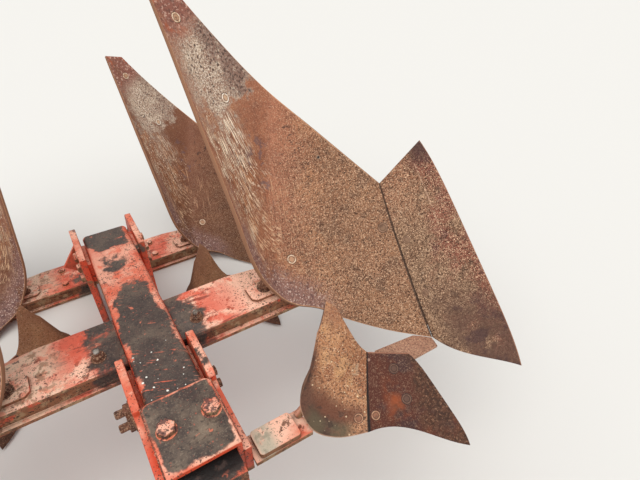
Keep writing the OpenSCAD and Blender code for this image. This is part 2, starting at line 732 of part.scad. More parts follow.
put() turnover_shaft();
put() sleeve();
put() beam();
put() cheek(1);  // cheek_right
put() cheek(-1);  // cheek_left
put() step(1);  // step_right
put() step(-1);  // step_left
put() spreader();
for (r = [[0, "front"], [1, "rear"]]) for (s = [[1, "right"], [-1, "left"]]) {
    name = str(r[1], "_", s[1], "_");
    put() leg(s[0], r[0]);
    put() frog(s[0], r[0]);
    put() share(s[0], r[0]);
    put() moldboard(s[0], r[0]);
    put() landside(s[0], r[0]);
    put() stay(s[0], r[0]);
    put() arm(s[0], r[0]);
    put() skimmer_board(s[0], r[0]);
    put() skimmer_share(s[0], r[0]);
}
put() bearing_housing();
put() tower(1);  // tower_right
put() tower(-1);  // tower_left
put() mast_tie();
put() cross_tube();
put() cylinder_bracket();
put() cylinder_barrel();
put() cylinder_rod();
put() stand();
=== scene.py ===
# %% [markdown]
# # A mounted reversible plough, turned half way over
# The CAD model is loaded as a fixed frame. Everything made below is in metres,
# in the same place and turn as that frame, so nothing has to be fitted by eye.

# %% Load the frame
import bpy, bmesh, json, math
import numpy as np
from mathutils import Matrix, Vector

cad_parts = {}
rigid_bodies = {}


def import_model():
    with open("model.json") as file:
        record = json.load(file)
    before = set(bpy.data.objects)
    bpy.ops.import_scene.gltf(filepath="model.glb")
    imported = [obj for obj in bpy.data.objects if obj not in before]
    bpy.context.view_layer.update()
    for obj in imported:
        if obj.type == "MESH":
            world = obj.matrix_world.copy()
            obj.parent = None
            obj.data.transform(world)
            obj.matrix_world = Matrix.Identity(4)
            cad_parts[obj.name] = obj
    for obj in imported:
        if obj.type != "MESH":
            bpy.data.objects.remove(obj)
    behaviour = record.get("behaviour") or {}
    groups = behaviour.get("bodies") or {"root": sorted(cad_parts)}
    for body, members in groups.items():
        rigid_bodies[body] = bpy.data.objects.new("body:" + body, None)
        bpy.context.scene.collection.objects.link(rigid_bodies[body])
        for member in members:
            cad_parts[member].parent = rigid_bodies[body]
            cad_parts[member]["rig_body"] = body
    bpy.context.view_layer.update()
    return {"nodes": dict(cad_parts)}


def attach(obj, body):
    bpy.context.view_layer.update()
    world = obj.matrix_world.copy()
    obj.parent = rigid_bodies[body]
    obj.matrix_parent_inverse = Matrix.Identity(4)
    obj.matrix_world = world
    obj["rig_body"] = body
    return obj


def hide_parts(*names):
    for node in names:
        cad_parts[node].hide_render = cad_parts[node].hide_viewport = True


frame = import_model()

NODES = frame["nodes"]

# %% [markdown]
# ## Camera
# The photograph is taken from above the front of the plough, a little to its
# left, with a wide lens. The camera is built from its right, up and forward
# directions, which are the columns of its turning matrix.

# %% Camera
# place in metres, directions, focal length and film width in millimetres
CAMERA_AT = Vector((-0.062, -0.9433, 1.39))
FORWARD = Vector((0.418, 0.668, -0.616)).normalized()
ROUGHLY_UP = Vector((0.322, 0.525, 0.788))
RIGHT = FORWARD.cross(ROUGHLY_UP).normalized()
UP = RIGHT.cross(FORWARD)
lens = bpy.data.cameras.new("photo_camera")
lens.lens, lens.sensor_width = 27.0, 36.0
lens.clip_start = 0.01
camera = bpy.data.objects.new("photo_camera", lens)
turn = Matrix((RIGHT, UP, -FORWARD)).transposed().to_4x4()
camera.matrix_world = Matrix.Translation(CAMERA_AT) @ turn
bpy.context.scene.collection.objects.link(camera)
bpy.context.scene.camera = camera
print("camera looks along", tuple(round(c, 3) for c in FORWARD))

# %% [markdown]
# ## Floor and light
# A dull sky lights the plough from all over, so a wide soft sun from above and
# an even pale world are enough. The world shows the floor's own pale colour to
# the camera and in reflections, and lights the plough at a lower level.

# %% Floor, sun and world
def srgb(r, g, b):
    """A colour as it is read off a screen, 0 to 255, made linear for a shader."""
    parts = [c / 255 for c in (r, g, b)]
    return tuple(c / 12.92 if c < 0.04045 else ((c + 0.055) / 1.055) ** 2.4 for c in parts) + (1.0,)

def node(tree, kind, inputs=None, **settings):
    """Adds a node, sets its options, and fills or links its inputs. An input may also be a
    Value, a class further down, which carries its socket."""
    made = tree.nodes.new(kind)
    for key, value in settings.items():
        setattr(made, key, value)
    for key, value in (inputs or {}).items():
        value = getattr(value, "socket", value)
        if isinstance(value, bpy.types.NodeSocket):
            tree.links.new(value, made.inputs[key])
        else:
            made.inputs[key].default_value = value
    return made

FLOOR_COLOUR, FLOOR_HALF = srgb(222, 219, 213), 9
SUN_POWER, SUN_WIDTH, SUN_TILT = 2.0, math.radians(70), (math.radians(24), math.radians(-20), 0)
SUN_COLOUR, SKY_COLOUR, SKY_POWER = (1.0, 0.985, 0.96), (0.93, 0.96, 1.0, 1), 0.78

floor_mesh = bpy.data.meshes.new("floor")
corners = [(x * FLOOR_HALF, y * FLOOR_HALF, 0) for x, y in ((-1, -1), (1, -1), (1, 1), (-1, 1))]
floor_mesh.from_pydata(corners, [], [(0, 1, 2, 3)])
floor = bpy.data.objects.new("floor", floor_mesh)
bpy.context.scene.collection.objects.link(floor)
floor_look = bpy.data.materials.new("floor_look")
floor_look.use_nodes = True
plain = floor_look.node_tree.nodes["Principled BSDF"]
plain.inputs["Base Color"].default_value = FLOOR_COLOUR
plain.inputs["Roughness"].default_value = 0.9
plain.inputs["Specular IOR Level"].default_value = 0.1
floor_mesh.materials.append(floor_look)

sun_data = bpy.data.lights.new("sky_sun", "SUN")
sun_data.energy, sun_data.angle, sun_data.color = SUN_POWER, SUN_WIDTH, SUN_COLOUR
sun = bpy.data.objects.new("sky_sun", sun_data)
sun.rotation_euler = SUN_TILT
bpy.context.scene.collection.objects.link(sun)

world = bpy.data.worlds.new("pale_sky")
world.use_nodes = True
sky = world.node_tree
sky.nodes.clear()
path = node(sky, "ShaderNodeLightPath")
seen = node(sky, "ShaderNodeMath", {0: path.outputs["Is Camera Ray"],
                                    1: path.outputs["Is Glossy Ray"]}, operation="MAXIMUM")
lit = node(sky, "ShaderNodeBackground", {"Color": SKY_COLOUR, "Strength": SKY_POWER})
shown = node(sky, "ShaderNodeBackground", {"Color": FLOOR_COLOUR, "Strength": 1.0})
mixed = node(sky, "ShaderNodeMixShader", {0: seen.outputs[0], 1: lit.outputs[0],
                                          2: shown.outputs[0]})
node(sky, "ShaderNodeOutputWorld", {"Surface": mixed.outputs[0]})
bpy.context.scene.world = world
bpy.context.scene.view_settings.view_transform = "Standard"
print("floor, sun and world are set")

# %% [markdown]
# ## The curved blades
# A moldboard is one sheet pressed into a twist: it lies flat at the share and
# stands nearly upright at its tail. The CAD model draws it from a short table of
# sections. The same table is used here with a much finer grid, so that the sheet
# is smooth and carries a map of its own: u runs along the way that soil flows,
# from the share to the tail, and v runs across it.

# %% Sections of the blades, in millimetres
# columns: shin edge, middle and wing edge, each as height above the share's edge,
# distance behind the tip and distance from the landside
BOARD = np.array([
    [132, 186, 10, 120, 344, 158, 105, 494, 318], [215, 266, 10, 182, 436, 168, 135, 568, 352],
    [290, 358, 12, 235, 522, 182, 165, 642, 387], [343, 412, 35, 278, 590, 205, 195, 716, 422],
    [406, 437, 62, 325, 638, 236, 222, 782, 453], [445, 462, 100, 358, 674, 268, 246, 832, 481],
    [485, 490, 190, 390, 698, 334, 275, 850, 515], [502, 555, 339, 418, 732, 436, 318, 860, 567],
    [513, 674, 509, 446, 786, 556, 370, 864, 634], [522, 792, 673, 474, 840, 680, 422, 872, 705],
    [530, 880, 792, 502, 886, 784, 470, 888, 776]], float)
SKIM_BOARD = np.array([
    [440, 53, 16, 405, 112, 60, 364, 175, 112], [505, 78, 16, 440, 132, 72, 379, 186, 134],
    [545, 120, 22, 462, 158, 100, 392, 200, 166], [548, 168, 62, 470, 190, 136, 402, 216, 198],
    [510, 190, 120, 462, 214, 176, 410, 236, 226],
    [468, 226, 190, 448, 236, 214, 428, 254, 244]], float)
SHARE_EDGE = np.array([[0, 0, 6], [-17, 236, 216], [0, 472, 429]], float)
SKIM_EDGE = np.array([[267, -84, 8], [261, 24, 52], [276, 130, 98]], float)
# the tip's place, the middle of the whole along y, and the height of the turnover shaft
TIP_REACH, TIP_Y, Y_MID, AXIS_Z = 775.0, -536.0, 33.3245, 412.0
# from body to body, how far in the rear skimmers stand, and the gap at a seam in sections
BODY_PITCH, FURROW, SKIM_IN, SEAM = 840.0, 390.0, 37.0, 0.006
BOARD_T, SHARE_T, SKIM_T = 9.0, 11.0, 6.0
# how far a share swells by the landside, and how blunt its cutting edge bends
SIDE_BULGE, SKIM_HOLLOW, BLUNT = 12.0, -16.0, 5
# brings t * t * (1 - t) at its highest to about 1
SWELL = 6.7

def across(rows, v):
    """A point across a section, on a parabola through its middle point."""
    a, m, c = rows[..., 0:3], rows[..., 3:6], rows[..., 6:9]
    v = v[..., None]
    return a * (1 - v) * (1 - 2 * v) + m * 4 * v * (1 - v) + c * v * (2 * v - 1)

def on_board(rows, s, v):
    """Points of the sheet at places s between the sections and v across them."""
    last = len(rows) - 1
    i = np.minimum(np.floor(s).astype(int), last - 1)
    f = (s - i)[..., None]
    p0, p1, p2, p3 = (across(rows[np.clip(i + k, 0, last)], v) for k in (-1, 0, 1, 2))
    return 0.5 * (2 * p1 + (p2 - p0) * f + (2 * p0 - 5 * p1 + 4 * p2 - p3) * f * f
                  + (3 * p1 - p0 - 3 * p2 + p3) * f ** 3)

def on_share(edge, rows, bulge, k, v):
    """Points of a share, from its cutting edge (k = 0) to the seam (k = 1)."""
    w, t = v[..., None], k[..., None]
    chord = edge[0] * (1 - w) + edge[2] * w
    cut = chord + (edge[1] - (edge[0] + edge[2]) / 2) * (1 - np.abs(2 * w - 1) ** BLUNT)
    q = cut * (1 - t) + on_board(rows, np.zeros_like(k), v) * t
    return q + np.array([1, -1, 0]) * bulge * (1 - w) ** 3 * SWELL * t * t * (1 - t)

def in_place(points, side, row, skimmer):
    """Body measures in millimetres to metres in the frame."""
    x = TIP_REACH - points[..., 0] - (SKIM_IN * row if skimmer else 0)
    y = TIP_Y + points[..., 1] + row * BODY_PITCH - Y_MID
    z = points[..., 2] + (1 - row) * FURROW
    return np.stack([side * x, y, z], -1) / 1000

print("sections:", len(BOARD), "and", len(SKIM_BOARD))

# %% Build a blade as one closed sheet
def piece_from(name, bm, look):
    """Turns a bmesh into a finished object at the origin."""
    data = bpy.data.meshes.new(name)
    bm.to_mesh(data)
    bm.free()
    made = bpy.data.objects.new(name, data)
    bpy.context.scene.collection.objects.link(made)
    data.materials.append(look)
    return made

def settle(obj):
    """Makes an object's modifiers part of its mesh."""
    graph = bpy.context.evaluated_depsgraph_get()
    data = bpy.data.meshes.new_from_object(obj.evaluated_get(graph))
    obj.modifiers.clear()
    obj.data = data
    return obj

# where the map of a sheet's narrow sides lies, outside its 0 to 1
RIM_MARK = -0.3
# the rounding of a sheet's rim, in metres, and the angle from which an edge is rounded
RIM_EASE, RIM_ANGLE = 0.0011, math.radians(50)
# no sheet's back comes nearer to the ground than this, in millimetres
LOWEST = 1
# the part of its thickness that a share has at its cutting edge
CUT_THICK = 0.25
# a step along a blade and across it, to find the way out of its face
SMALL_STEP = 1e-3

def blade(name, shape, counts, thick, side, row, skimmer, look, thin_edge):
    """A sheet with the face shape(a, v), its back behind it, and a rounded rim."""
    na, nv = counts
    a, v = np.meshgrid(np.linspace(0, 1, na + 1), np.linspace(0, 1, nv + 1), indexing="ij")
    face = shape(a, v)
    def moved(places, step):
        return np.clip(places + step, 0, 1)
    da = shape(moved(a, SMALL_STEP), v) - shape(moved(a, -SMALL_STEP), v)
    dv = shape(a, moved(v, SMALL_STEP)) - shape(a, moved(v, -SMALL_STEP))
    way = np.cross(dv, da)
    way /= np.linalg.norm(way, axis=-1, keepdims=True)
    if way[na // 2, nv // 2, 1] < 0:
        way = -way
    depth = thick * (CUT_THICK + (1 - CUT_THICK) * a)[..., None] if thin_edge else thick
    back = face + way * depth
    back[..., 2] = np.maximum(back[..., 2], LOWEST)
    bm = bmesh.new()
    grids = [[[bm.verts.new(p) for p in line] for line in in_place(g, side, row, skimmer)]
             for g in (face, back)]
    flow = bm.loops.layers.uv.new("flow")
    def patch(corners, maps):
        f = bm.faces.new(corners)
        f.smooth = True
        for loop, m in zip(f.loops, maps):
            loop[flow].uv = m
    for g, grid in enumerate(grids):
        for i in range(na):
            for j in range(nv):
                ij = [(i, j), (i, j + 1), (i + 1, j + 1), (i + 1, j)]
                ij = ij if g == 0 else ij[::-1]
                patch([grid[p][q] for p, q in ij], [(p / na, q / nv) for p, q in ij])
    rim = ([(i, 0) for i in range(na)] + [(na, j) for j in range(nv)]
           + [(i, nv) for i in range(na, 0, -1)] + [(0, j) for j in range(nv, 0, -1)])
    for (p, q), (r, s) in zip(rim, rim[1:] + rim[:1]):
        patch([grids[0][p][q], grids[0][r][s], grids[1][r][s], grids[1][p][q]],
              [(k / na, RIM_MARK) for k in (p, r, r, p)])
    bmesh.ops.recalc_face_normals(bm, faces=bm.faces[:])
    made = piece_from(name, bm, look)
    round_rim = made.modifiers.new("rim", "BEVEL")
    round_rim.width, round_rim.segments = RIM_EASE, 2
    round_rim.limit_method, round_rim.angle_limit = "ANGLE", RIM_ANGLE
    return settle(made)
print("blade builder is ready")

# %% [markdown]
# ## Shared finishes
# Rust, wear, grease and grain come back on many pieces. Each is a node group that
# puts out a mask between 0 and 1, so a material only says where, how big and how
# much. The colours themselves are mixed in each material.

# %% A number that changes over a surface, with its sums and products
class Value:
    """What a node puts out. Its +, -, * and abs() add the maths nodes that they stand for."""

    def __init__(self, tree, socket):
        self.tree, self.socket = tree, socket

    def maths(self, how, a, b=0.0):
        made = node(self.tree, "ShaderNodeMath", {0: a, 1: b}, operation=how)
        return Value(self.tree, made.outputs[0])

    def __add__(self, other):
        return self.maths("ADD", self, other)

    def __sub__(self, other):
        return self.maths("SUBTRACT", self, other)

    def __rsub__(self, other):
        return self.maths("SUBTRACT", other, self)

    def __mul__(self, other):
        return self.maths("MULTIPLY", self, other)

    def __abs__(self):
        return self.maths("ABSOLUTE", self)

def threshold(tree, value, low, high):
    """0 below low, 1 above high, and a smooth step between them."""
    made = node(tree, "ShaderNodeMapRange", {"Value": value, "From Min": low, "From Max": high},
                interpolation_type="SMOOTHSTEP")
    return Value(tree, made.outputs["Result"])

def cloud(tree, where, scale, detail, rough, bent=0.0):
    """Noise, between 0 and 1."""
    made = node(tree, "ShaderNodeTexNoise", {"Vector": where, "Scale": scale, "Detail": detail,
                                             "Roughness": rough, "Distortion": bent})
    return Value(tree, made.outputs["Fac"])

# %% Node groups for patches, specks, streaks and worn edges
VEC, NUM = "NodeSocketVector", "NodeSocketFloat"

def group(name, inputs, build):
    """A shader node group with named inputs and one output, called Mask."""
    tree = bpy.data.node_groups.new(name, "ShaderNodeTree")
    for title, kind, value in inputs:
        socket = tree.interface.new_socket(title, in_out="INPUT", socket_type=kind)
        if value is not None:
            socket.default_value = value
    tree.interface.new_socket("Mask", in_out="OUTPUT", socket_type=NUM)
    start, end = tree.nodes.new("NodeGroupInput"), tree.nodes.new("NodeGroupOutput")
    given = {title: Value(tree, start.outputs[title]) for title, _, _ in inputs}
    tree.links.new(build(tree, given).socket, end.inputs["Mask"])
    return tree

def build_patches(tree, given):
    """Uneven areas: noise cut off at a level, with a soft or hard border."""
    noise = cloud(tree, given["Where"], given["Scale"], 9.0, 0.62, bent=0.15)
    return threshold(tree, noise, given["Level"], given["Level"] + given["Soft"])

def build_specks(tree, given):
    """Small separate spots: cells whose middles are close enough, some left out."""
    cells = node(tree, "ShaderNodeTexVoronoi", {"Vector": given["Where"], "Scale": given["Scale"],
                                                "Randomness": 1.0})
    split = node(tree, "ShaderNodeSeparateColor", {"Color": cells.outputs["Color"]})
    size = Value(tree, split.outputs["Red"]) * given["Size"]
    kept = size.maths("LESS_THAN", split.outputs["Green"], given["Share"])
    return threshold(tree, size - cells.outputs["Distance"], 0.0, 0.12) * kept

def build_streaks(tree, given):
    """Long thin marks along x of the coordinates that come in."""
    long = node(tree, "ShaderNodeVectorMath", {0: given["Where"], 1: given["Stretch"]},
                operation="MULTIPLY")
    noise = cloud(tree, long.outputs[0], 1.0, 6.0, 0.6)
    return threshold(tree, noise, given["Level"], given["Level"] + given["Soft"])

def build_edges(tree, given):
    """Edges, where a rounded normal turns away from the true one, broken by noise."""
    rounded = node(tree, "ShaderNodeBevel", {"Radius": given["Radius"]}, samples=4)
    true = node(tree, "ShaderNodeNewGeometry")
    same = node(tree, "ShaderNodeVectorMath", {0: rounded.outputs[0], 1: true.outputs["Normal"]},
                operation="DOT_PRODUCT")
    noise = cloud(tree, given["Where"], given["Scale"], 6.0, 0.65)
    turned = Value(tree, same.outputs["Value"]) + noise * given["Uneven"]
    return 1.0 - threshold(tree, turned, 0.9, 1.02)

PATCHES = group("patches", [("Where", VEC, None), ("Scale", NUM, 6.0), ("Level", NUM, 0.5),
                            ("Soft", NUM, 0.1)], build_patches)
SPECKS = group("specks", [("Where", VEC, None), ("Scale", NUM, 200.0), ("Size", NUM, 0.6),
                          ("Share", NUM, 0.5)], build_specks)
STREAKS = group("streaks", [("Where", VEC, None), ("Stretch", VEC, (4, 60, 4)),
                            ("Level", NUM, 0.5), ("Soft", NUM, 0.1)], build_streaks)
EDGES = group("worn_edges", [("Where", VEC, None), ("Radius", NUM, 0.003), ("Scale", NUM, 40.0),
                             ("Uneven", NUM, 0.3)], build_edges)
print("groups:", [g.name for g in (PATCHES, SPECKS, STREAKS, EDGES)])

# %% A material that is built up in layers, as paint, dirt and rust lie on each other
# the colour sockets of a Mix node, by number: both that go in, and the one that comes out
MIX_BELOW, MIX_ABOVE, MIXED = 6, 7, 2

class Finish:
    """A Principled material whose colour, roughness and height grow layer by layer."""

    def __init__(self, name, colour, rough, metal=0.0, specular=0.5):
        self.look = bpy.data.materials.new(name)
        self.look.use_nodes = True
        self.tree = self.look.node_tree
        self.shader = self.tree.nodes["Principled BSDF"]
        for title, value in (("Metallic", metal), ("Specular IOR Level", specular),
                             ("Roughness", rough)):
            self.shader.inputs[title].default_value = value
        here = node(self.tree, "ShaderNodeTexCoord")
        self.where, self.facing = here.outputs["Object"], here.outputs["Normal"]
        self.colour = node(self.tree, "ShaderNodeRGB").outputs[0]
        self.colour.default_value = srgb(*colour)
        self.plain_rough = rough
        self.rough = self.height = self.late = None

    def mask(self, which, where, **values):
        """A mask from a shared group, on the object's own coordinates or on others."""
        values["Where"] = self.where if where is None else where
        made = node(self.tree, "ShaderNodeGroup", values, node_tree=which)
        return Value(self.tree, made.outputs["Mask"])

    def patches(self, scale, level, soft):
        return self.mask(PATCHES, None, Scale=scale, Level=level, Soft=soft)

    def specks(self, scale, size, share):
        return self.mask(SPECKS, None, Scale=scale, Size=size, Share=share)

    def streaks(self, stretch, level, soft, where=None):
        return self.mask(STREAKS, where, Stretch=stretch, Level=level, Soft=soft)

    def edges(self, radius, scale, uneven):
        return self.mask(EDGES, None, Radius=radius, Scale=scale, Uneven=uneven)

    def axis(self, vector, letter):
        split = node(self.tree, "ShaderNodeSeparateXYZ", {"Vector": vector})
        return Value(self.tree, split.outputs[letter])

    def at(self, letter):
        """The place on one axis, in metres."""
        return self.axis(self.where, letter)

    def lift(self):
        """How far a face looks up: 1 on a top, 0 on a side and -1 on an underside."""
        return self.axis(self.facing, "Z")

    def ramp(self, value, low, high):
        """0 below low and 1 above high."""
        return threshold(self.tree, value, low, high)

    def fade(self, value, low, high):
        """1 below low and 0 above high."""
        return 1.0 - self.ramp(value, low, high)

    def band(self, value, a, b, c, d):
        """Rises from a to b and falls again from c to d."""
        return self.ramp(value, a, b) * self.fade(value, c, d)

    def away(self, low, high):
        """0 near the middle plane and 1 beyond it."""
        return self.ramp(abs(self.at("X")), low, high)

    def layer(self, colour, mask, amount=1.0, rough=None):
        """Lays a colour, and a roughness if given, over what is there."""
        if amount != 1.0:
            mask = mask * amount
        mix = node(self.tree, "ShaderNodeMix", {"Factor": mask, MIX_BELOW: self.colour,
                                                MIX_ABOVE: srgb(*colour)}, data_type="RGBA")
        self.colour = mix.outputs[MIXED]
        if rough is not None:
            below = self.plain_rough if self.rough is None else self.rough
            self.rough = node(self.tree, "ShaderNodeMix", {"Factor": mask, 2: below,
                                                           3: rough}).outputs[0]

    def raise_by(self, mask, amount):
        """Adds to the height, in metres; below 0 it sinks in."""
        part = mask * amount
        self.height = part if self.height is None else self.height + part

    def drive(self, title, value):
        """Links a value to a socket of the shader."""
        self.tree.links.new(getattr(value, "socket", value), self.shader.inputs[title])

    def done(self):
        if self.late is not None:
            self.layer(*self.late)
        self.drive("Base Color", self.colour)
        if self.rough is not None:
            self.drive("Roughness", self.rough)
        if self.height is not None:
            bump = node(self.tree, "ShaderNodeBump", {"Height": self.height, "Strength": 0.9,
                                                      "Distance": 1.0})
            self.drive("Normal", bump.outputs[0])
        return self.look
print("finishes are built in layers")

# %% [markdown]
# ## Rust on the blades
# Soil polishes a moldboard while it works, and rust then takes the bare steel.
# The rust is fine and granular. It is redder by the share, paler and pitted high
# up where damp soil stuck, and tan streaks follow the way that the soil slid.
# The map made with each blade says where along and across it a point lies.

# %% The moldboard's rust
# the rear pair's boards lie behind this, in metres
REAR_FROM = 0.36

def flow_of(f):
    """The blade's own map, and its two parts: along it and across it."""
    uv = node(f.tree, "ShaderNodeUVMap", uv_map="flow").outputs[0]
    return uv, f.axis(uv, "X"), f.axis(uv, "Y")

def fall_of(f):
    """The way that soil slid down a body, the same on both sides: along it and across it."""
    away, y, z = abs(f.at("X")), f.at("Y"), f.at("Z")
    down = y * -0.6 + z * -0.8
    side = away * -0.62 + (y * 0.65 - z * 0.45)
    return node(f.tree, "ShaderNodeCombineXYZ", {"X": down, "Y": side}).outputs[0]

# colours and largest shares of the pits and the grains in all rust
PIT, PIT_SHARE, GRAIN, GRAIN_SHARE = (66, 38, 27), 0.85, (242, 200, 162), 0.66
COARSER = 0.42

def granular(f, fine, amount, deep=0.00035, where=None, coarse=0.35):
    """Pale grains and dark pits of two sizes, that make rust look like sand."""
    for scale, part in ((fine, 1.0), (fine * COARSER, coarse)):
        pits = f.patches(scale, 0.52, 0.07)
        grains = f.patches(scale * 1.3, 0.55, 0.06)
        if where is not None:
            pits, grains = pits * where, grains * where
        f.layer(PIT, pits, min(PIT_SHARE * amount * part, 1.0), rough=0.85)
        f.layer(GRAIN, grains, min(GRAIN_SHARE * amount * part, 1.0))
        f.raise_by(grains - pits, deep * amount * part)

def rim_of(f, wide, colour=(128, 88, 64)):
    """The narrow sides of a sheet are plain dark rust."""
    f.layer(colour, f.fade(wide, RIM_MARK + 0.1, RIM_MARK + 0.2), 0.85, rough=0.7)

def moldboard_rust():
    f = Finish("moldboard_rust", (164, 106, 76), 0.6, 0.12, 0.45)
    uv, along, wide = flow_of(f)
    f.layer((134, 80, 54), f.patches(5, 0.44, 0.2), 0.75)
    f.layer((190, 132, 92), f.patches(11, 0.5, 0.14), 0.6)
    f.layer((104, 60, 42), f.patches(26, 0.56, 0.1), 0.6)
    # browner and more granular by the share
    low = f.fade(along, 0.12, 0.5)
    f.layer((138, 104, 74), low, 0.6, rough=0.72)
    f.layer((98, 68, 50), low * f.patches(13, 0.5, 0.12), 0.6)
    # smoother and redder up the wing, and darker on the rear pair
    smooth = f.ramp(along + wide * 0.15, 0.32, 0.66)
    f.layer((156, 92, 62), smooth, 0.4)
    f.layer((132, 78, 56), smooth * f.patches(16, 0.5, 0.14), 0.6)
    sandy = 1 - smooth * 0.62
    granular(f, 270, 1.45, coarse=0.3, where=sandy)
    rear = f.ramp(f.at("Y"), REAR_FROM, REAR_FROM + 0.02)
    f.layer((86, 48, 29), rear, 0.58)
    front = 1 - rear * 0.55
    # streaks along the flow of the soil, strongest just below the pale zone
    ragged = f.patches(26, 0.25, 0.5) * 0.11
    edge = along + wide * 0.2 + ragged
    broken = f.patches(24, 0.38, 0.16)
    fall = fall_of(f)
    band = f.band(edge, 0.62, 0.76, 0.875, 0.91) * f.band(wide, 0.02, 0.1, 0.42, 0.76)
    f.layer((150, 92, 62), band, 0.7)
    f.layer((206, 146, 100), band * f.streaks((12, 48, 1), 0.5, 0.1, where=uv), 0.75, rough=0.5)
    f.layer((84, 48, 34), band * f.streaks((24, 110, 2), 0.52, 0.04, where=uv), 0.9)
    long = f.streaks((24, 105, 3), 0.53, 0.025, where=uv)
    f.layer((255, 232, 200), band * broken * front * long)
    f.layer((255, 236, 208), band * f.patches(150, 0.6, 0.02), 0.9)
    near = f.band(edge, 0.77, 0.83, 0.87, 0.9) * f.band(wide, 0.28, 0.42, 0.58, 0.68) * front
    f.layer((255, 238, 212), near * f.streaks((22, 95, 3), 0.51, 0.05, where=uv), 0.95)
    f.layer((92, 52, 38), near * f.streaks((26, 130, 2), 0.55, 0.03, where=uv), 0.85)
    lower = f.band(edge, 0.5, 0.62, 0.7, 0.8) * f.band(wide, 0.04, 0.12, 0.3, 0.5)
    long = f.streaks((26, 110, 3), 0.54, 0.03, where=uv)
    f.layer((238, 200, 160), lower * broken * long, 0.85)
    # fainter lines down the middle of the sheet
    inner = (f.ramp(wide - along * 0.4, 0.06, 0.2) * f.band(along, 0.2, 0.42, 0.5, 0.62)
             * f.fade(wide, 0.5, 0.8))
    f.layer((98, 54, 38), inner * f.streaks((16, 270, 2), 0.55, 0.06, where=fall), 0.5)
    f.layer((224, 176, 136), inner * f.streaks((14, 290, 2), 0.58, 0.04, where=fall), 0.5)
    # pale pitted zone below the tail, whose border slopes down to the wing
    high = (f.ramp(edge, 0.885, 0.935) * f.fade(along, 0.86, 0.94)
            * (f.ramp(wide, 0.05, 0.45) * 0.65 + 0.35))
    f.layer((174, 142, 120), high, 0.92, rough=0.8)
    f.layer((212, 188, 162), high * f.patches(24, 0.42, 0.24), 0.7)
    f.layer((238, 222, 200), high * f.patches(260, 0.5, 0.05), 0.8)
    pock = high * f.patches(210, 0.53, 0.05)
    f.layer((108, 78, 62), pock, 0.85)
    f.raise_by(pock, -0.0005)
    f.layer((70, 48, 42), high * f.specks(150, 0.7, 0.24), 0.85)
    winged = high * front * f.ramp(wide, 0.62, 0.94)
    f.layer((122, 86, 74), winged * f.patches(40, 0.38, 0.1), 0.7)
    f.layer((64, 42, 36), winged * f.patches(130, 0.54, 0.04), 0.85)
    # the tail is redder, with pale grains
    tail = f.ramp(along, 0.87, 0.93)
    f.layer((138, 84, 70), tail * f.patches(12, 0.34, 0.2), 0.85)
    f.layer((172, 84, 46), tail * f.patches(22, 0.54, 0.06), 0.7)
    f.layer((206, 166, 146), tail * f.patches(110, 0.55, 0.05), 0.75)
    f.layer((96, 62, 52), tail * f.patches(140, 0.55, 0.04), 0.8)
    # purple-grey patina with pale grains by the landside edge, and dark marks in the middle
    shin = f.fade(wide, 0.06, 0.2) * f.band(along, 0.18, 0.34, 0.62, 0.76)
    f.layer((134, 98, 92), shin * f.patches(11, 0.4, 0.14), 0.75, rough=0.6)
    f.layer((92, 60, 58), shin * f.patches(60, 0.54, 0.06), 0.7)
    f.layer((222, 196, 180), shin * f.patches(190, 0.56, 0.04), 0.75)
    marks = f.band(along, 0.42, 0.48, 0.6, 0.66) * f.band(wide, 0.45, 0.55, 0.7, 0.8)
    f.layer((108, 84, 84), marks * f.patches(34, 0.56, 0.04), 0.7)
    spots = f.band(along, 0.24, 0.3, 0.42, 0.48) * f.band(wide, 0.66, 0.74, 0.88, 0.96)
    f.layer((72, 44, 34), spots * f.patches(60, 0.58, 0.04), 0.85)
    # dark line at the seam and the thin bright rim
    f.layer((46, 34, 28), f.fade(along, 0.001, 0.008), 0.9)
    rim = along.maths("MAXIMUM", f.fade(wide, 0.0015, 0.006), f.ramp(wide, 0.993, 0.999))
    f.layer((214, 160, 116), rim, 0.75, rough=0.45)
    rim_of(f, wide)
    return f.done()

MOLDBOARD_RUST = moldboard_rust()
print("moldboard:", len(MOLDBOARD_RUST.node_tree.nodes), "nodes")

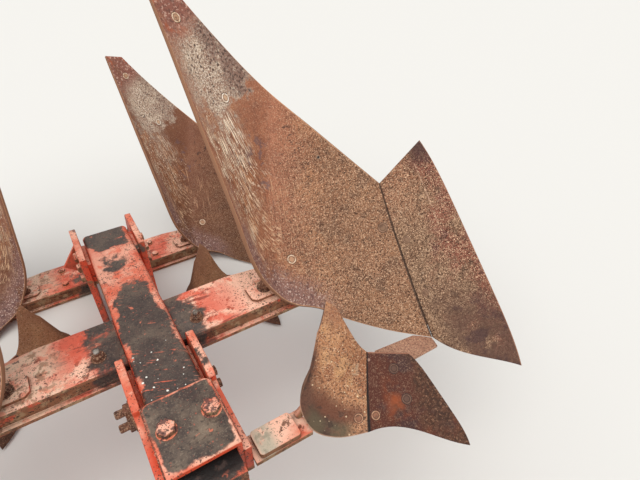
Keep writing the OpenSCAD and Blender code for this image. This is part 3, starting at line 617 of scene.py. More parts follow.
# %% The shares and the skimmers
def share_rust():
    f = Finish("share_rust", (140, 108, 82), 0.72, 0.1, 0.4)
    uv, out, wide = flow_of(f)
    f.layer((112, 76, 54), f.patches(7, 0.45, 0.18), 0.7)
    f.layer((160, 108, 78), f.ramp(wide, 0.55, 0.95) * f.patches(8, 0.42, 0.15), 0.75)
    edge = f.fade(out + f.patches(12, 0.3, 0.5), 0.35, 0.95)
    f.layer((134, 68, 50), edge, 0.75, rough=0.55)
    f.layer((84, 50, 52), edge * f.patches(17, 0.52, 0.08), 0.6)
    granular(f, 270, 1.45, coarse=0.3)
    f.layer((74, 50, 38), f.patches(48, 0.56, 0.08), 0.5)
    f.layer((214, 184, 154), f.specks(190, 0.5, 0.14) * f.ramp(out, 0.3, 0.6), 0.6)
    tip = f.fade(wide, 0.12, 0.42) * f.fade(out, 0.5, 1.0)
    f.layer((92, 62, 48), tip * f.patches(10, 0.3, 0.16), 0.85, rough=0.6)
    f.layer((72, 46, 44), tip * f.patches(18, 0.5, 0.1), 0.7)
    corner = f.ramp(wide, 0.88, 0.97) * f.fade(out, 0.12, 0.45)
    f.layer((70, 44, 42), corner, 0.85)
    # a long scratch across the wing, short ones, the cutting edge and the seam
    line = (0.96 - wide) * 0.137 + 0.283
    off = abs(out - line)
    mark = (f.fade(off, 0.006, 0.012) * f.band(wide, 0.62, 0.68, 0.94, 0.97)
            * f.patches(60, 0.45, 0.1))
    f.layer((204, 164, 136), mark, 0.6, rough=0.5)
    f.layer((196, 150, 122), f.streaks((60, 5, 1), 0.68, 0.03, where=uv), 0.6)
    f.layer((186, 128, 92), f.fade(out, 0.004, 0.014), 0.6, rough=0.45)
    f.layer((44, 32, 26), f.ramp(out, 0.975, 0.992), 0.9)
    rim_of(f, wide, (92, 62, 48))
    return f.done()

def skimmer_rust():
    f = Finish("skimmer_rust", (178, 122, 82), 0.5, 0.15, 0.5)
    _, along, wide = flow_of(f)
    f.layer((146, 88, 54), f.patches(9, 0.46, 0.16), 0.75)
    middle = f.band(wide, 0.3, 0.5, 0.65, 0.98)
    f.layer((214, 164, 114), middle * f.patches(14, 0.44, 0.16), 0.65)
    granular(f, 260, 0.95, coarse=0.25)
    upper = f.ramp(along, 0.5, 0.9)
    f.layer((140, 90, 66), upper * f.patches(12, 0.4, 0.16), 0.7)
    shin = f.fade(wide, 0.14, 0.42) * f.fade(along, 0.82, 0.98)
    f.layer((88, 54, 40), shin * f.ramp(along, 0.06, 0.3), 0.92, rough=0.6)
    f.layer((52, 34, 28), shin * f.patches(18, 0.5, 0.08), 0.6)
    ochre = f.band(wide, 0.1, 0.2, 0.26, 0.42) * f.band(along, 0.0, 0.1, 0.4, 0.6)
    f.layer((106, 60, 38), ochre, 0.85)
    low = f.fade(wide, 0.08, 0.2) * f.band(along, 0.08, 0.18, 0.42, 0.55)
    f.layer((98, 84, 62), low * f.patches(14, 0.34, 0.14), 0.9, rough=0.7)
    f.layer((62, 44, 34), shin * f.patches(40, 0.56, 0.05), 0.7)
    # a rubbed square mark near the seam
    mark = f.band(along, 0.14, 0.155, 0.225, 0.24) * f.band(wide, 0.66, 0.68, 0.8, 0.82)
    f.layer((190, 164, 134), mark * f.patches(90, 0.46, 0.1), 0.55)
    f.layer((238, 212, 172), f.specks(170, 0.42, 0.1), 0.7)
    # the rear pair is browner and darker
    f.layer((112, 72, 44), f.ramp(f.at("Y"), 0.0, 0.2), 0.6)
    rim = along.maths("MAXIMUM", f.fade(wide, 0.004, 0.014), f.ramp(along, 0.985, 0.998))
    f.layer((208, 166, 136), rim, 0.6, rough=0.4)
    f.layer((30, 24, 22), f.fade(along, 0.004, 0.018), 0.95)
    rim_of(f, wide, (96, 64, 48))
    return f.done()

def skimmer_share_rust():
    f = Finish("skimmer_share_rust", (82, 40, 27), 0.68, 0.05, 0.3)
    _, out, wide = flow_of(f)
    f.layer((56, 30, 30), f.patches(16, 0.46, 0.14), 0.85, rough=0.55)
    f.layer((112, 56, 32), f.patches(12, 0.5, 0.12), 0.7)
    granular(f, 260, 0.25)
    ridge = f.band(out, 0.48, 0.6, 0.68, 0.84) * f.band(wide, 0.04, 0.2, 0.6, 0.8)
    f.layer((148, 70, 28), ridge * f.patches(17, 0.42, 0.2), 0.8)
    worn = f.fade(out + f.patches(14, 0.3, 0.6), 0.4, 0.9)
    f.layer((88, 60, 44), worn, 0.7, rough=0.8)
    pits = worn * f.patches(120, 0.5, 0.06)
    f.layer((58, 38, 30), pits, 0.75)
    f.raise_by(pits, -0.0007)
    f.layer((170, 128, 100), worn * f.patches(220, 0.57, 0.04), 0.5)
    spots = f.specks(120, 0.5, 0.12) * f.ramp(out, 0.75, 0.92) * f.ramp(wide, 0.6, 0.9)
    f.layer((176, 140, 120), spots, 0.7)
    f.layer((190, 130, 100), f.ramp(wide, 0.98, 0.995), 0.6)
    f.layer((22, 18, 18), f.ramp(out, 0.97, 0.99), 0.95)
    rim_of(f, wide, (84, 52, 40))
    return f.done()

SHARE_RUST, SKIMMER_RUST = share_rust(), skimmer_rust()
SKIMMER_SHARE_RUST = skimmer_share_rust()
print("share and skimmer rust are ready")

# %% [markdown]
# ## Old orange paint
# The frame was sprayed orange. Its tops have bleached to salmon and peach, its
# sides are still bright, water has left ochre rust in the recesses, and grease and
# soil lie black on the beam. One function lays these layers in the order in which
# they came, and each piece gets its own share of every one.

# %% Paint with bleach, grease, chips and rust
# how far the scratches in the grease are turned from the beam, in radians
SCRATCH_TURN = 0.4

def painted(name, bleach=0.6, grease=None, rust=0.4, chips=0.5, dust=0.0, bright=(214, 80, 48),
            extra=None, grey=0.5, scratches=False, soft=0.06):
    """grease(f) gives a level between 0, nothing, and 1, all covered. extra(f, up) adds what a
    single piece has besides."""
    f = Finish(name, bright, 0.5, 0.0, 0.45)
    up = f.ramp(f.lift(), 0.3, 0.8)
    side = 1 - up
    # bleached tops, in salmon and then peach
    f.layer((220, 122, 92), up * f.patches(7, 0.34, 0.18), bleach, rough=0.62)
    f.layer((244, 190, 162), up * f.patches(6, 0.52 - 0.14 * bleach, 0.14), bleach, rough=0.7)
    f.layer((224, 96, 62), f.patches(18, 0.58, 0.06), 0.7)
    f.layer((170, 72, 46), side * f.patches(10, 0.48, 0.12), 0.6)
    f.layer((196, 172, 140), up * f.patches(8, 0.62 - 0.2 * dust, 0.12), dust, rough=0.85)
    # ochre rust and dried soil, more on the sides than on top
    under = 1 - f.ramp(f.lift(), -0.3, -0.8) * 0.8
    level = 0.7 - under * (0.08 + 0.3 * rust)
    soil = side * f.patches(9, level, 0.07)
    f.layer((126, 94, 66), soil, 0.9, rough=0.88)
    f.layer((166, 140, 106), soil * f.patches(26, 0.5, 0.08), 0.7)
    f.layer((78, 54, 40), soil * f.patches(40, 0.54, 0.06), 0.7)
    pitted = f.patches(30, 0.69 - 0.1 * rust, 0.03)
    f.layer((104, 62, 42), pitted, 0.85, rough=0.85)
    f.raise_by(pitted, -0.0003)
    # black specks where the paint has blistered, large and small
    weather = f.patches(8, 0.36, 0.16)
    for scale, share in ((340.0, 0.3 + 0.4 * chips), (170.0, 0.06 + 0.22 * chips)):
        blister = f.specks(scale, 0.66, share) * weather
        f.layer((54, 38, 32), blister, 0.85)
        f.raise_by(blister, -0.0003)
    f.layer((76, 50, 40), weather * f.patches(95, 0.64 - 0.05 * chips, 0.025), 0.85, rough=0.8)
    f.layer((250, 206, 180), up * f.patches(85, 0.62, 0.03), 0.5 * bleach)
    # worn edges: bright paint first, then bare rusty metal
    wide_edge = f.edges(0.01, 26.0, 0.36)
    f.layer((232, 112, 76), wide_edge * up, 0.7)
    thin_edge = f.edges(0.0035, 50.0, 0.22)
    f.layer((150, 96, 68), thin_edge, 0.3 + 0.35 * chips, rough=0.6)
    if extra is not None:
        extra(f, up)
    if grease is not None:
        level = 0.8 - grease(f) * 0.6 + wide_edge * 0.16
        thin = f.patches(13, level - 0.05, 0.1)
        f.layer((136, 74, 56), thin * f.patches(70, 0.42, 0.1), 0.75, rough=0.7)
        black = f.patches(13, level, soft)
        if scratches:
            turned = node(f.tree, "ShaderNodeMapping", {"Vector": f.where,
                                                        "Rotation": (0, 0, SCRATCH_TURN)})
            scratch = (f.streaks((14, 150, 14), 0.6, 0.02, where=turned.outputs[0])
                       * f.patches(9, 0.5, 0.05))
            black = black * (1 - scratch * 0.9)
        f.layer((60, 51, 47), black, 0.97, rough=0.5)
        f.layer((144, 124, 104), black * f.patches(11, 0.42, 0.3), grey, rough=0.8)
        f.layer((96, 78, 66), black * f.patches(55, 0.5, 0.08), 0.6 * grey)
        f.layer((38, 32, 31), black * f.patches(9, 0.49, 0.12) * pitted, rough=0.4)
        f.layer((150, 134, 114), black * f.patches(230, 0.56, 0.05), 0.12 + 0.3 * grey)
        f.layer((34, 28, 27), black * f.patches(120, 0.55, 0.06), 0.5)
        f.layer((206, 112, 84), black * f.patches(38, 0.65, 0.02), 0.85)
        f.layer((176, 92, 70), black * f.patches(90, 0.63, 0.02), 0.75)
        f.raise_by(black * f.patches(34, 0.36, 0.3), 0.0007)
    f.raise_by(f.patches(120, 0.3, 0.4), 0.00015)
    return f.done()

# %% Where the grease lies, and what single pieces have besides
# places in metres along y, each from where a change begins to where it ends
SLEEVE_LIP, SLEEVE_REAR = (-0.436, -0.41), (-0.263, -0.256)
# the second pair says where the painted shadow under the sleeve's lip lies on the nose
NOSE_LIP, NOSE_SHADOW, JOURNAL_END = (-0.475, -0.45), (-0.474, -0.452), (-0.484, -0.481)
THIN_GREASE, DROPPINGS = (0.1, 0.18, 0.32, 0.4), (-0.3, -0.24, -0.14, -0.05)
# and outward from the middle plane
BEAM_EDGE, SLEEVE_EDGE, LEG_GREASE = (0.028, 0.064), (0.058, 0.076), (0.07, 0.26)
LEG_RED, LEG_SOILED, PIN_SHOULDER = (0.17, 0.3), (0.24, 0.34), (0.389, 0.391)
PAD = (0.1, 0.115, 0.135, 0.165)
LEFT_LEGS = (-0.25, -0.17)
BARE_METAL = 0.7

def beam_grease(f):
    """All over the beam's top, thinner at its edges and towards its rear end."""
    top = f.ramp(f.lift(), 0.2, 0.7) * 0.5 + 0.5
    edge = 1 - f.away(*BEAM_EDGE) * 0.5
    rear = 1 - f.band(f.at("Y"), *THIN_GREASE) * 0.55
    return top * edge * rear

def sleeve_grease(f):
    """On the sleeve's top, inside a border that has kept its paint."""
    edge = 1 - f.away(*SLEEVE_EDGE) * 0.6
    front = f.ramp(f.at("Y"), *SLEEVE_LIP) * 0.6 + 0.4
    rear = 1 - f.ramp(f.at("Y"), *SLEEVE_REAR) * 0.5
    return f.ramp(f.lift(), 0.2, 0.7) * edge * front * rear

def leg_grease(f):
    """Crept out from the beam along a leg."""
    return (1 - f.away(*LEG_GREASE)) * 0.72

def less_bleached(f, up):
    """Between the grease and its outer end a leg has kept its red."""
    place = up * (1 - f.away(*LEG_RED))
    f.layer((214, 84, 58), place * f.patches(16, 0.4, 0.14), 0.8)
    f.layer((122, 52, 38), place * f.streaks((14, 70, 14), 0.56, 0.06), 0.7)
    out = up * f.away(*LEG_SOILED)
    f.layer((176, 138, 106), out * f.patches(22, 0.5, 0.12), 0.6, rough=0.85)
    left = up * f.fade(f.at("X"), *LEFT_LEGS)
    f.layer((232, 202, 172), left * f.patches(18, 0.4, 0.14), 0.7, rough=0.8)
    f.layer((226, 132, 104), left * f.patches(24, 0.54, 0.05), 0.7)
    f.layer((150, 108, 80), left * f.patches(34, 0.55, 0.06), 0.75)
    f.layer((76, 50, 40), left * f.patches(100, 0.59, 0.03), 0.8)
    crevice_soil_and_shade(f, up)

def a_little(f):
    """Here and there a thin smear."""
    return f.patches(6, 0.4, 0.2) * 0.5

def droppings(f, up):
    """White specks on the beam just behind the sleeve."""
    place = up * f.band(f.at("Y"), *DROPPINGS)
    f.late = ((236, 232, 220), place * f.specks(170, 0.55, 0.11))

def crevice_soil_and_shade(f, up):
    """Soil and rust gather in the corner round a raised plate, and the darkening there by ambient
    occlusion is also painted shade.
    """
    near = node(f.tree, "ShaderNodeAmbientOcclusion", {"Distance": 0.012}, samples=4,
                only_local=True)
    soil_and_shade = f.fade(near.outputs["AO"], 0.45, 0.9)
    # dark soil and painted shade in the corners, where the occlusion is strongest
    f.layer((74, 52, 40), soil_and_shade * f.patches(40, 0.3, 0.2), 0.95, rough=0.85)

def blotches(f, up):
    """Dark marks that a spanner and the weather left on a bolt's head."""
    f.layer((70, 46, 44), f.patches(62, 0.5, 0.06), 0.85)

def worn_pad(f, up):
    """The raised pad of an arm has lost its colour."""
    place = up * f.band(abs(f.at("X")), *PAD)
    f.layer((182, 172, 150), place * f.patches(14, 0.36, 0.12), 0.9, rough=0.8)
    f.layer((140, 132, 112), place * f.patches(45, 0.52, 0.08), 0.6)
    crevice_soil_and_shade(f, up)

def nose_grease_and_shade(f):
    """Thick under the sleeve's lip, where the black also serves as painted shade below the lip, and
    rubbed off further forward.
    """
    # grease rising towards the lip, where its black also stands in for painted shade
    return f.ramp(f.at("Y"), *NOSE_LIP) * 0.5 + 0.45

def bare_journal_and_lip_shadow(f, up):
    """Ahead of the nose block the shaft is bare steel, and by the sleeve's lip a near-black layer
    is painted shadow.
    """
    lip_shadow = up * f.ramp(f.at("Y"), *NOSE_SHADOW)
    # painted shadow under the sleeve's lip, laid last over everything
    f.late = ((27, 22, 21), lip_shadow * f.patches(16, 0.36, 0.1))
    front = f.fade(f.at("Y"), *JOURNAL_END)
    f.layer((138, 130, 122), front, 1.0, rough=0.45)
    f.layer((84, 72, 64), front * f.patches(12, 0.46, 0.16), 0.85)
    f.drive("Metallic", front * BARE_METAL)

def bare_ends(f, up):
    """The tractor's arms keep the lower link pins bare."""
    out = f.away(*PIN_SHOULDER)
    f.layer((128, 120, 112), out, 1.0, rough=0.45)
    f.layer((90, 74, 62), out * f.patches(30, 0.46, 0.16), 0.85)
    f.drive("Metallic", out * BARE_METAL)

LEG_PAINT = painted("leg_paint", bleach=1.0, grease=leg_grease, rust=0.85, chips=0.5, dust=0.3,
                    soft=0.1, extra=less_bleached)
SHAFT_LOOK = painted("shaft_and_nose", bleach=0.2, grease=nose_grease_and_shade, rust=0.6, chips=0.8,
                     extra=bare_journal_and_lip_shadow, grey=0.2)
BEAM_PAINT = painted("beam_paint", bleach=0.6, grease=beam_grease, rust=0.35, chips=0.5,
                     extra=droppings, grey=0.35, scratches=True)
SLEEVE_PAINT = painted("sleeve_paint", bleach=0.85, grease=sleeve_grease, rust=0.35, chips=0.4,
                       grey=0.85, soft=0.1)
CHEEK_PAINT = painted("cheek_paint", bleach=0.75, grease=a_little, rust=0.3, chips=0.35)
ARM_PAINT = painted("arm_paint", bleach=1.0, rust=0.95, chips=0.2, dust=0.15, extra=worn_pad)
HEAD_PAINT = painted("headstock_paint", bleach=0.5, grease=a_little, rust=0.35, chips=0.4)
CROSS_PAINT = painted("cross_tube_paint", bleach=0.5, grease=a_little, rust=0.35, chips=0.4,
                      extra=bare_ends)
CYLINDER_PAINT = painted("cylinder_paint", bleach=0.4, grease=a_little, rust=0.2, chips=0.3)
print("paints:", [m.name for m in bpy.data.materials if m.name.endswith("paint")])

# %% Bare metal: bolts, shafts, the landsides and the frogs
def bare(name, colour, dark, rough=0.6, metal=0.3, scale=14.0, pale=None, grain=0.7):
    f = Finish(name, colour, rough, metal, 0.5)
    f.layer(dark, f.patches(scale, 0.46, 0.16), 0.85, rough=min(rough + 0.2, 0.9))
    if pale is not None:
        f.layer(pale, f.edges(0.002, 60.0, 0.25), 0.7, rough=0.4)
    granular(f, 230.0, grain, 0.0002)
    return f.done()

def ringed(name, middle, ring, gap, shaded_hole=0.0):
    """A head set flush in a blade: a dark gap, a pale ring and its middle. With a hole, its dark
    middle is painted shade, as the template itself is solid. The template's own attribute tells how
    far from its centre a point lies."""
    f = Finish(name, middle, 0.55, 0.25, 0.5)
    out = node(f.tree, "ShaderNodeAttribute", attribute_name="ring").outputs["Fac"]
    f.layer((92, 62, 46), f.patches(120, 0.5, 0.1), 0.6)
    # a hole's dark middle is painted shade on the solid template
    if shaded_hole > 0:
        f.layer((30, 24, 22), f.fade(out, shaded_hole, shaded_hole + 0.15), 0.95)
    pale = f.band(out, 1.05, 1.15, 1.42, 1.5)
    f.layer(ring, pale * f.patches(150, 0.36, 0.2), 0.85, rough=0.4)
    f.layer(gap, f.band(out, 0.82, 0.9, 0.98, 1.06), 0.6)
    f.layer(gap, f.ramp(out, 1.46, 1.56), 0.9)
    return f.done()

RUSTY_BOLT = bare("rusty_bolt", (110, 70, 50), (62, 42, 36), 0.7, 0.2, 45.0, (176, 116, 88))
SLEEVE_BOLT = painted("sleeve_bolt", bleach=0.9, rust=0.9, chips=0.6, bright=(200, 96, 70),
                      extra=blotches)
PAINTED_BOLT = painted("painted_bolt", bleach=1.0, rust=1.0, chips=1.0, bright=(196, 108, 80))
BRIGHT_STEEL = bare("bright_steel", (176, 172, 166), (110, 100, 92), 0.35, 0.8, 40.0,
                    (214, 212, 208), 0.3)
ROD_CHROME = bare("rod_chrome", (176, 176, 174), (140, 134, 126), 0.25, 0.9, 9.0, None, 0.1)
LANDSIDE_STEEL = bare("landside_steel", (176, 130, 106), (142, 94, 70), 0.6, 0.2, 8.0,
                      (208, 170, 146))
HEAD_STEEL = ringed("flush_head", (184, 140, 108), (238, 216, 188), (56, 38, 30))
BRIGHT_HEAD = ringed("bright_flush_head", (206, 168, 136), (255, 246, 230), (34, 26, 22))
DULL_HEAD = ringed("dull_flush_head", (140, 92, 66), (176, 134, 102), (54, 36, 28))
DARK_HEAD = ringed("dark_flush_head", (86, 56, 42), (104, 72, 54), (46, 32, 26))
SEAM_HEAD = ringed("seam_flush_head", (134, 102, 78), (150, 116, 92), (96, 68, 52))
# its dark middle is painted shade for a hole that the mesh does not cut
SMALL_HOLE = ringed("small_hole", (120, 90, 70), (206, 176, 150), (60, 42, 34), shaded_hole=0.9)
WELD = bare("weld_bead", (150, 70, 50), (92, 58, 46), 0.6, 0.1, 30.0)
FROG_PAINT = painted("frog_paint", bleach=0.2, grease=a_little, rust=0.95, chips=0.9,
                     bright=(170, 74, 48))
STAND_PAINT = painted("stand_paint", bleach=0.5, rust=0.5, chips=0.6)
print("materials:", len(bpy.data.materials))

# %% [markdown]
# ## Blades in place
# The two bodies on each side are the same, one furrow and one pitch apart, and
# the left side mirrors the right. A sign and two offsets place all sixteen sheets.

# %% Make the sixteen blades
# columns: name, which side of the plough (1 right, -1 left), and row (0 front, 1 rear)
ENDS = [("front_right", 1, 0), ("front_left", -1, 0), ("rear_right", 1, 1), ("rear_left", -1, 1)]

def board_shape(rows):
    return lambda a, v: on_board(rows, SEAM + (len(rows) - 1 - SEAM) * a, v)

def share_shape(edge, rows, bulge):
    return lambda a, v: on_share(edge, rows, bulge, a, v)

# columns: kind, shape, faces along and across, thickness, skimmer, finish, thin edge
BLADES = [("moldboard", board_shape(BOARD), (96, 40), BOARD_T, False, MOLDBOARD_RUST, False),
          ("share", share_shape(SHARE_EDGE, BOARD, SIDE_BULGE), (24, 44), SHARE_T, False,
           SHARE_RUST, True),
          ("skimmer_board", board_shape(SKIM_BOARD), (44, 26), SKIM_T, True, SKIMMER_RUST, False),
          ("skimmer_share", share_shape(SKIM_EDGE, SKIM_BOARD, SKIM_HOLLOW), (16, 26), SKIM_T,
           True, SKIMMER_SHARE_RUST, True)]
for end, side, row in ENDS:
    for kind, shape, counts, thick, skimmer, look, thin in BLADES:
        sheet = blade(f"{end}_{kind}_sheet", shape, counts, thick, side, row, skimmer, look, thin)
        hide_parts(f"{end}_{kind}")
        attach(sheet, "frame")
one = bpy.data.objects["front_right_moldboard_sheet"].data
print("blades:", 4 * len(BLADES), "triangles in one moldboard:",
      sum(len(p.vertices) - 2 for p in one.polygons))

# %% [markdown]
# ## Plates and tubes with eased edges
# No plate on a real plough has a knife-sharp corner. Each CAD piece is copied, its
# triangles are joined into whole faces, and a small bevel eases the edges, so that
# they catch the light. The copy stands in for the CAD piece in the picture.

# %% Ease the edges of the CAD pieces
# points closer than this are one, in metres, and faces flatter than this are one
SAME_POINT, SAME_FACE = 2e-5, math.radians(0.6)
EASED_ANGLE = math.radians(32)

def eased(cad, width, look, slot):
    """A joined and bevelled copy of a CAD piece, at the same place."""
    bm = bmesh.new()
    bm.from_mesh(NODES[cad].data)
    bmesh.ops.remove_doubles(bm, verts=bm.verts[:], dist=SAME_POINT)
    bmesh.ops.dissolve_limit(bm, angle_limit=SAME_FACE, verts=bm.verts[:], edges=bm.edges[:])
    for f in bm.faces:
        f.smooth = True
        f.material_index = 0
    made = piece_from(cad + "_eased", bm, look)
    bevel = made.modifiers.new("edges", "BEVEL")
    bevel.width, bevel.segments = width, 2
    bevel.limit_method, bevel.angle_limit = "ANGLE", EASED_ANGLE
    bevel.harden_normals = bevel.use_clamp_overlap = True
    settle(made)
    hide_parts(cad)
    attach(made, NODES[cad]["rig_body"])

def each(kind):
    """One kind of piece at all four ends."""
    return [f"{end}_{kind}" for end, side, row in ENDS]

# columns: width of the bevel in metres, finish, slot and pieces
ORANGE = "orange_paint"
DRESS = [(0.0012, BEAM_PAINT, "greasy_paint", ["beam"]),
         (0.0022, SLEEVE_PAINT, "greasy_paint", ["sleeve"]),
         (0.0022, CHEEK_PAINT, ORANGE, ["cheek_right", "cheek_left", "step_right", "step_left"]),
         (0.0022, LEG_PAINT, ORANGE, each("leg")), (0.002, ARM_PAINT, ORANGE, each("arm")),
         (0.0018, FROG_PAINT, ORANGE, each("frog")), (0.0012, FROG_PAINT, ORANGE, each("stay")),
         (0.0015, FROG_PAINT, ORANGE, ["spreader"]),
         (0.0015, LANDSIDE_STEEL, "blade_steel", each("landside")),
         (0.002, HEAD_PAINT, ORANGE, ["bearing_housing", "tower_right", "tower_left"]),
         (0.0015, HEAD_PAINT, ORANGE, ["cylinder_bracket"]),
         (0.001, HEAD_PAINT, ORANGE, ["mast_tie"]), (0.0018, CROSS_PAINT, ORANGE, ["cross_tube"]),
         (0.001, CYLINDER_PAINT, ORANGE, ["cylinder_barrel"]),
         (0.001, STAND_PAINT, "stand_paint", ["stand"]),
         (0.0015, SHAFT_LOOK, "shaft_steel", ["turnover_shaft"]),
         (0.001, ROD_CHROME, "shaft_steel", ["cylinder_rod"])]
PLAIN = {name: row[:3] for row in DRESS for name in row[3]}
for cad in NODES:
    if cad in PLAIN:
        eased(cad, *PLAIN[cad])
left_over = [n for n in NODES if n not in PLAIN and not n.endswith(("moldboard", "share", "board"))]
print("eased pieces:", len(PLAIN), "without a finish:", left_over)

# %% [markdown]
# ## Bolts, nuts and washers
# A plough is held together by the same few bolts, so one tree of Geometry Nodes
# sets a template on every point of a small cloud. Each point carries the way that
# the bolt looks, its size and a turn of its own.

# %% Templates
def turned_profile(bm, profile, steps, flat_sides):
    """A lathe shape round Z from (radius, height) pairs, closed at both ends. It is round
    where flat_sides is 0."""
    rings = []
    for radius, height in profile:
        ring = []
        for k in range(steps):
            t = 2 * math.pi * k / steps
            r = radius
            if flat_sides:
                half = math.pi / flat_sides
                r = radius * math.cos(half) / math.cos((t % (2 * half)) - half)
            ring.append(bm.verts.new((r * math.cos(t), r * math.sin(t), height)))
        rings.append(ring)
    for a, b in zip(rings, rings[1:]):
        for k in range(steps):
            bm.faces.new((a[k], a[(k + 1) % steps], b[(k + 1) % steps], b[k]))
    bm.faces.new(rings[0][::-1])
    bm.faces.new(rings[-1])

def template(name, parts, look):
    """Several lathe shapes in one mesh, in units of the bolt's own radius."""
    bm = bmesh.new()
    for part in parts:
        turned_profile(bm, *part)
    ring = bm.verts.layers.float.new("ring")
    for v in bm.verts:
        v[ring] = math.hypot(v.co.x, v.co.y)
    made = piece_from(name, bm, look)
    for f in made.data.polygons:
        f.use_smooth = False
    return made

# each part: (radius, height) pairs, steps round, and flat sides
WASHER = ([(1.0, -0.05), (1.95, -0.05), (2.05, 0.02), (2.05, 0.2), (1.95, 0.28), (1.0, 0.28)],
          28, 0)
HEX = ([(1.55, 0.26), (1.73, 0.3), (1.73, 1.28), (1.62, 1.4), (1.3, 1.47), (0.4, 1.5)], 24, 6)
FLANGE = ([(1.0, -0.05), (2.05, -0.05), (2.14, 0.02), (2.1, 0.12), (1.95, 0.2), (1.0, 0.2)],
          28, 0)
WIDE_HEX = ([(1.75, 0.16), (1.96, 0.2), (1.96, 1.3), (1.85, 1.44), (1.5, 1.54), (0.45, 1.57)],
            24, 6)
SHANK = ([(0.95, 0.2), (0.95, 2.1), (0.86, 2.3), (0.3, 2.36)], 20, 0)
LONG = ([(0.95, -0.4), (0.95, 3.2), (0.8, 3.45), (0.3, 3.5)], 20, 0)
TIP = ([(0.85, 2.0), (0.86, 2.7), (0.7, 2.95), (0.3, 3.0)], 20, 0)
FLUSH = ([(0.5, -0.5), (1.55, -0.25), (1.7, 0.0), (1.5, 0.05), (1.42, 0.16), (1.12, 0.16),
          (1.03, 0.08), (0.93, 0.08), (0.84, 0.15), (0.2, 0.17)], 28, 0)
KINDS = [("hex_head", [WASHER, HEX], PAINTED_BOLT),
         ("flange_bolt", [FLANGE, WIDE_HEX], SLEEVE_BOLT),
         ("hex_nut", [WASHER, HEX, SHANK], RUSTY_BOLT),
         ("long_nut", [WASHER, HEX, LONG], RUSTY_BOLT),
         ("stud_tip", [TIP], BRIGHT_STEEL), ("flush_head", [FLUSH], HEAD_STEEL)]
TEMPLATES = {kind[0]: template(*kind) for kind in KINDS}
print("templates:", list(TEMPLATES))

# %% How a tree begins and ends, and a piece that a tree makes
def start_tree(name, given):
    """A tree with its first and last node. It takes in geometry, the given values and a
    finish, called Look, and gives geometry."""
    tree = bpy.data.node_groups.new(name, "GeometryNodeTree")
    face = tree.interface
    face.new_socket("Geometry", in_out="INPUT", socket_type="NodeSocketGeometry")
    for title, form, value in given:
        made = face.new_socket(title, in_out="INPUT", socket_type="NodeSocket" + form)
        if value is not None:
            made.default_value = value
    face.new_socket("Look", in_out="INPUT", socket_type="NodeSocketMaterial")
    face.new_socket("Geometry", in_out="OUTPUT", socket_type="NodeSocketGeometry")
    return tree, tree.nodes.new("NodeGroupInput"), tree.nodes.new("NodeGroupOutput")

def end_tree(tree, start, end, shape):
    """The last step of a tree gives the shape its finish."""
    paint = node(tree, "GeometryNodeSetMaterial", {"Geometry": shape.outputs[0],
                                                   "Material": start.outputs["Look"]})
    tree.links.new(paint.outputs[0], end.inputs[0])
    return tree

def grown(name, seedbed, group, given, look, body):
    """A piece that a tree makes from points or lines, with its finish and body."""
    made = bpy.data.objects.new(name, seedbed)
    bpy.context.scene.collection.objects.link(made)
    tree = made.modifiers.new(group.name, "NODES")
    tree.node_group = group
    inputs = {s.name: s.identifier for s in group.interface.items_tree if s.in_out == "INPUT"}
    for title, value in given.items():
        tree[inputs[title]] = value
    tree[inputs["Look"]] = look
    settle(made)
    made.data.materials.clear()
    made.data.materials.append(look)
    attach(made, body)

# %% The tree that sets the bolts
# what each point carries, in the order in which a bolt's place names it
CARRIED = (("aim", "FLOAT_VECTOR"), ("size", "FLOAT"), ("spin", "FLOAT"))

def setting_tree():
    tree, start, end = start_tree("set_bolts", [("Template", "Object", None),
                                                ("Scale", "Float", 1.0)])
    aim, size, spin = [node(tree, "GeometryNodeInputNamedAttribute", {"Name": title},
                            data_type=form).outputs["Attribute"] for title, form in CARRIED]
    lean = node(tree, "FunctionNodeAlignRotationToVector", {"Vector": aim}, axis="Z")
    about = node(tree, "FunctionNodeAxisAngleToRotation", {"Axis": (0, 0, 1), "Angle": spin})
    both = node(tree, "FunctionNodeRotateRotation",
                {"Rotation": lean.outputs[0], "Rotate By": about.outputs[0]},
                rotation_space="LOCAL")
    what = node(tree, "GeometryNodeObjectInfo", {"Object": start.outputs["Template"]})
    scale = node(tree, "ShaderNodeMath", {0: size, 1: start.outputs["Scale"]},
                 operation="MULTIPLY")
    put = node(tree, "GeometryNodeInstanceOnPoints",
               {"Points": start.outputs["Geometry"], "Instance": what.outputs["Geometry"],
                "Rotation": both.outputs[0], "Scale": scale.outputs[0]})
    real = node(tree, "GeometryNodeRealizeInstances", {"Geometry": put.outputs["Instances"]})
    return end_tree(tree, start, end, real)

SET_BOLTS = setting_tree()

def set_bolts(name, kind, places, body, look):
    """places: (point in metres, way it looks, radius in metres, turn in degrees)."""
    cloud = bpy.data.meshes.new(name)
    cloud.from_pydata([point for point, way, radius, turn in places], [], [])
    carried = [(way, radius, math.radians(turn)) for point, way, radius, turn in places]
    for column, (title, form) in enumerate(CARRIED):
        values = cloud.attributes.new(title, form, "POINT").data
        for k, row in enumerate(carried):
            setattr(values[k], "vector" if form == "FLOAT_VECTOR" else "value", row[column])
    grown(name, cloud, SET_BOLTS, {"Template": TEMPLATES[kind], "Scale": 1.0}, look, body)

# %% Bolts on the frame, in the source's own millimetres
def mm(x, y, z):
    """A point in the source's millimetres, with y counted from the front legs."""
    return Vector((x, y - Y_MID, z)) / 1000

UP_WAY, SIDES = (0, 0, 1), (1, -1)
BEAM_HALF, SLEEVE_GAP, SLEEVE_WALL = 65.5, 0.3, 10
SLEEVE_TOP = AXIS_Z + BEAM_HALF + SLEEVE_GAP + SLEEVE_WALL
# the top of a rear leg, and how far out the faces with side bolts are
LEG_TOP, CHEEK_OUT = 65.0, 94.1
# on the sleeve: y, and each bolt's x and turn in degrees
SLEEVE_BOLT_Y, SLEEVE_BOLTS = -302, ((-44, 12), (52, 40))
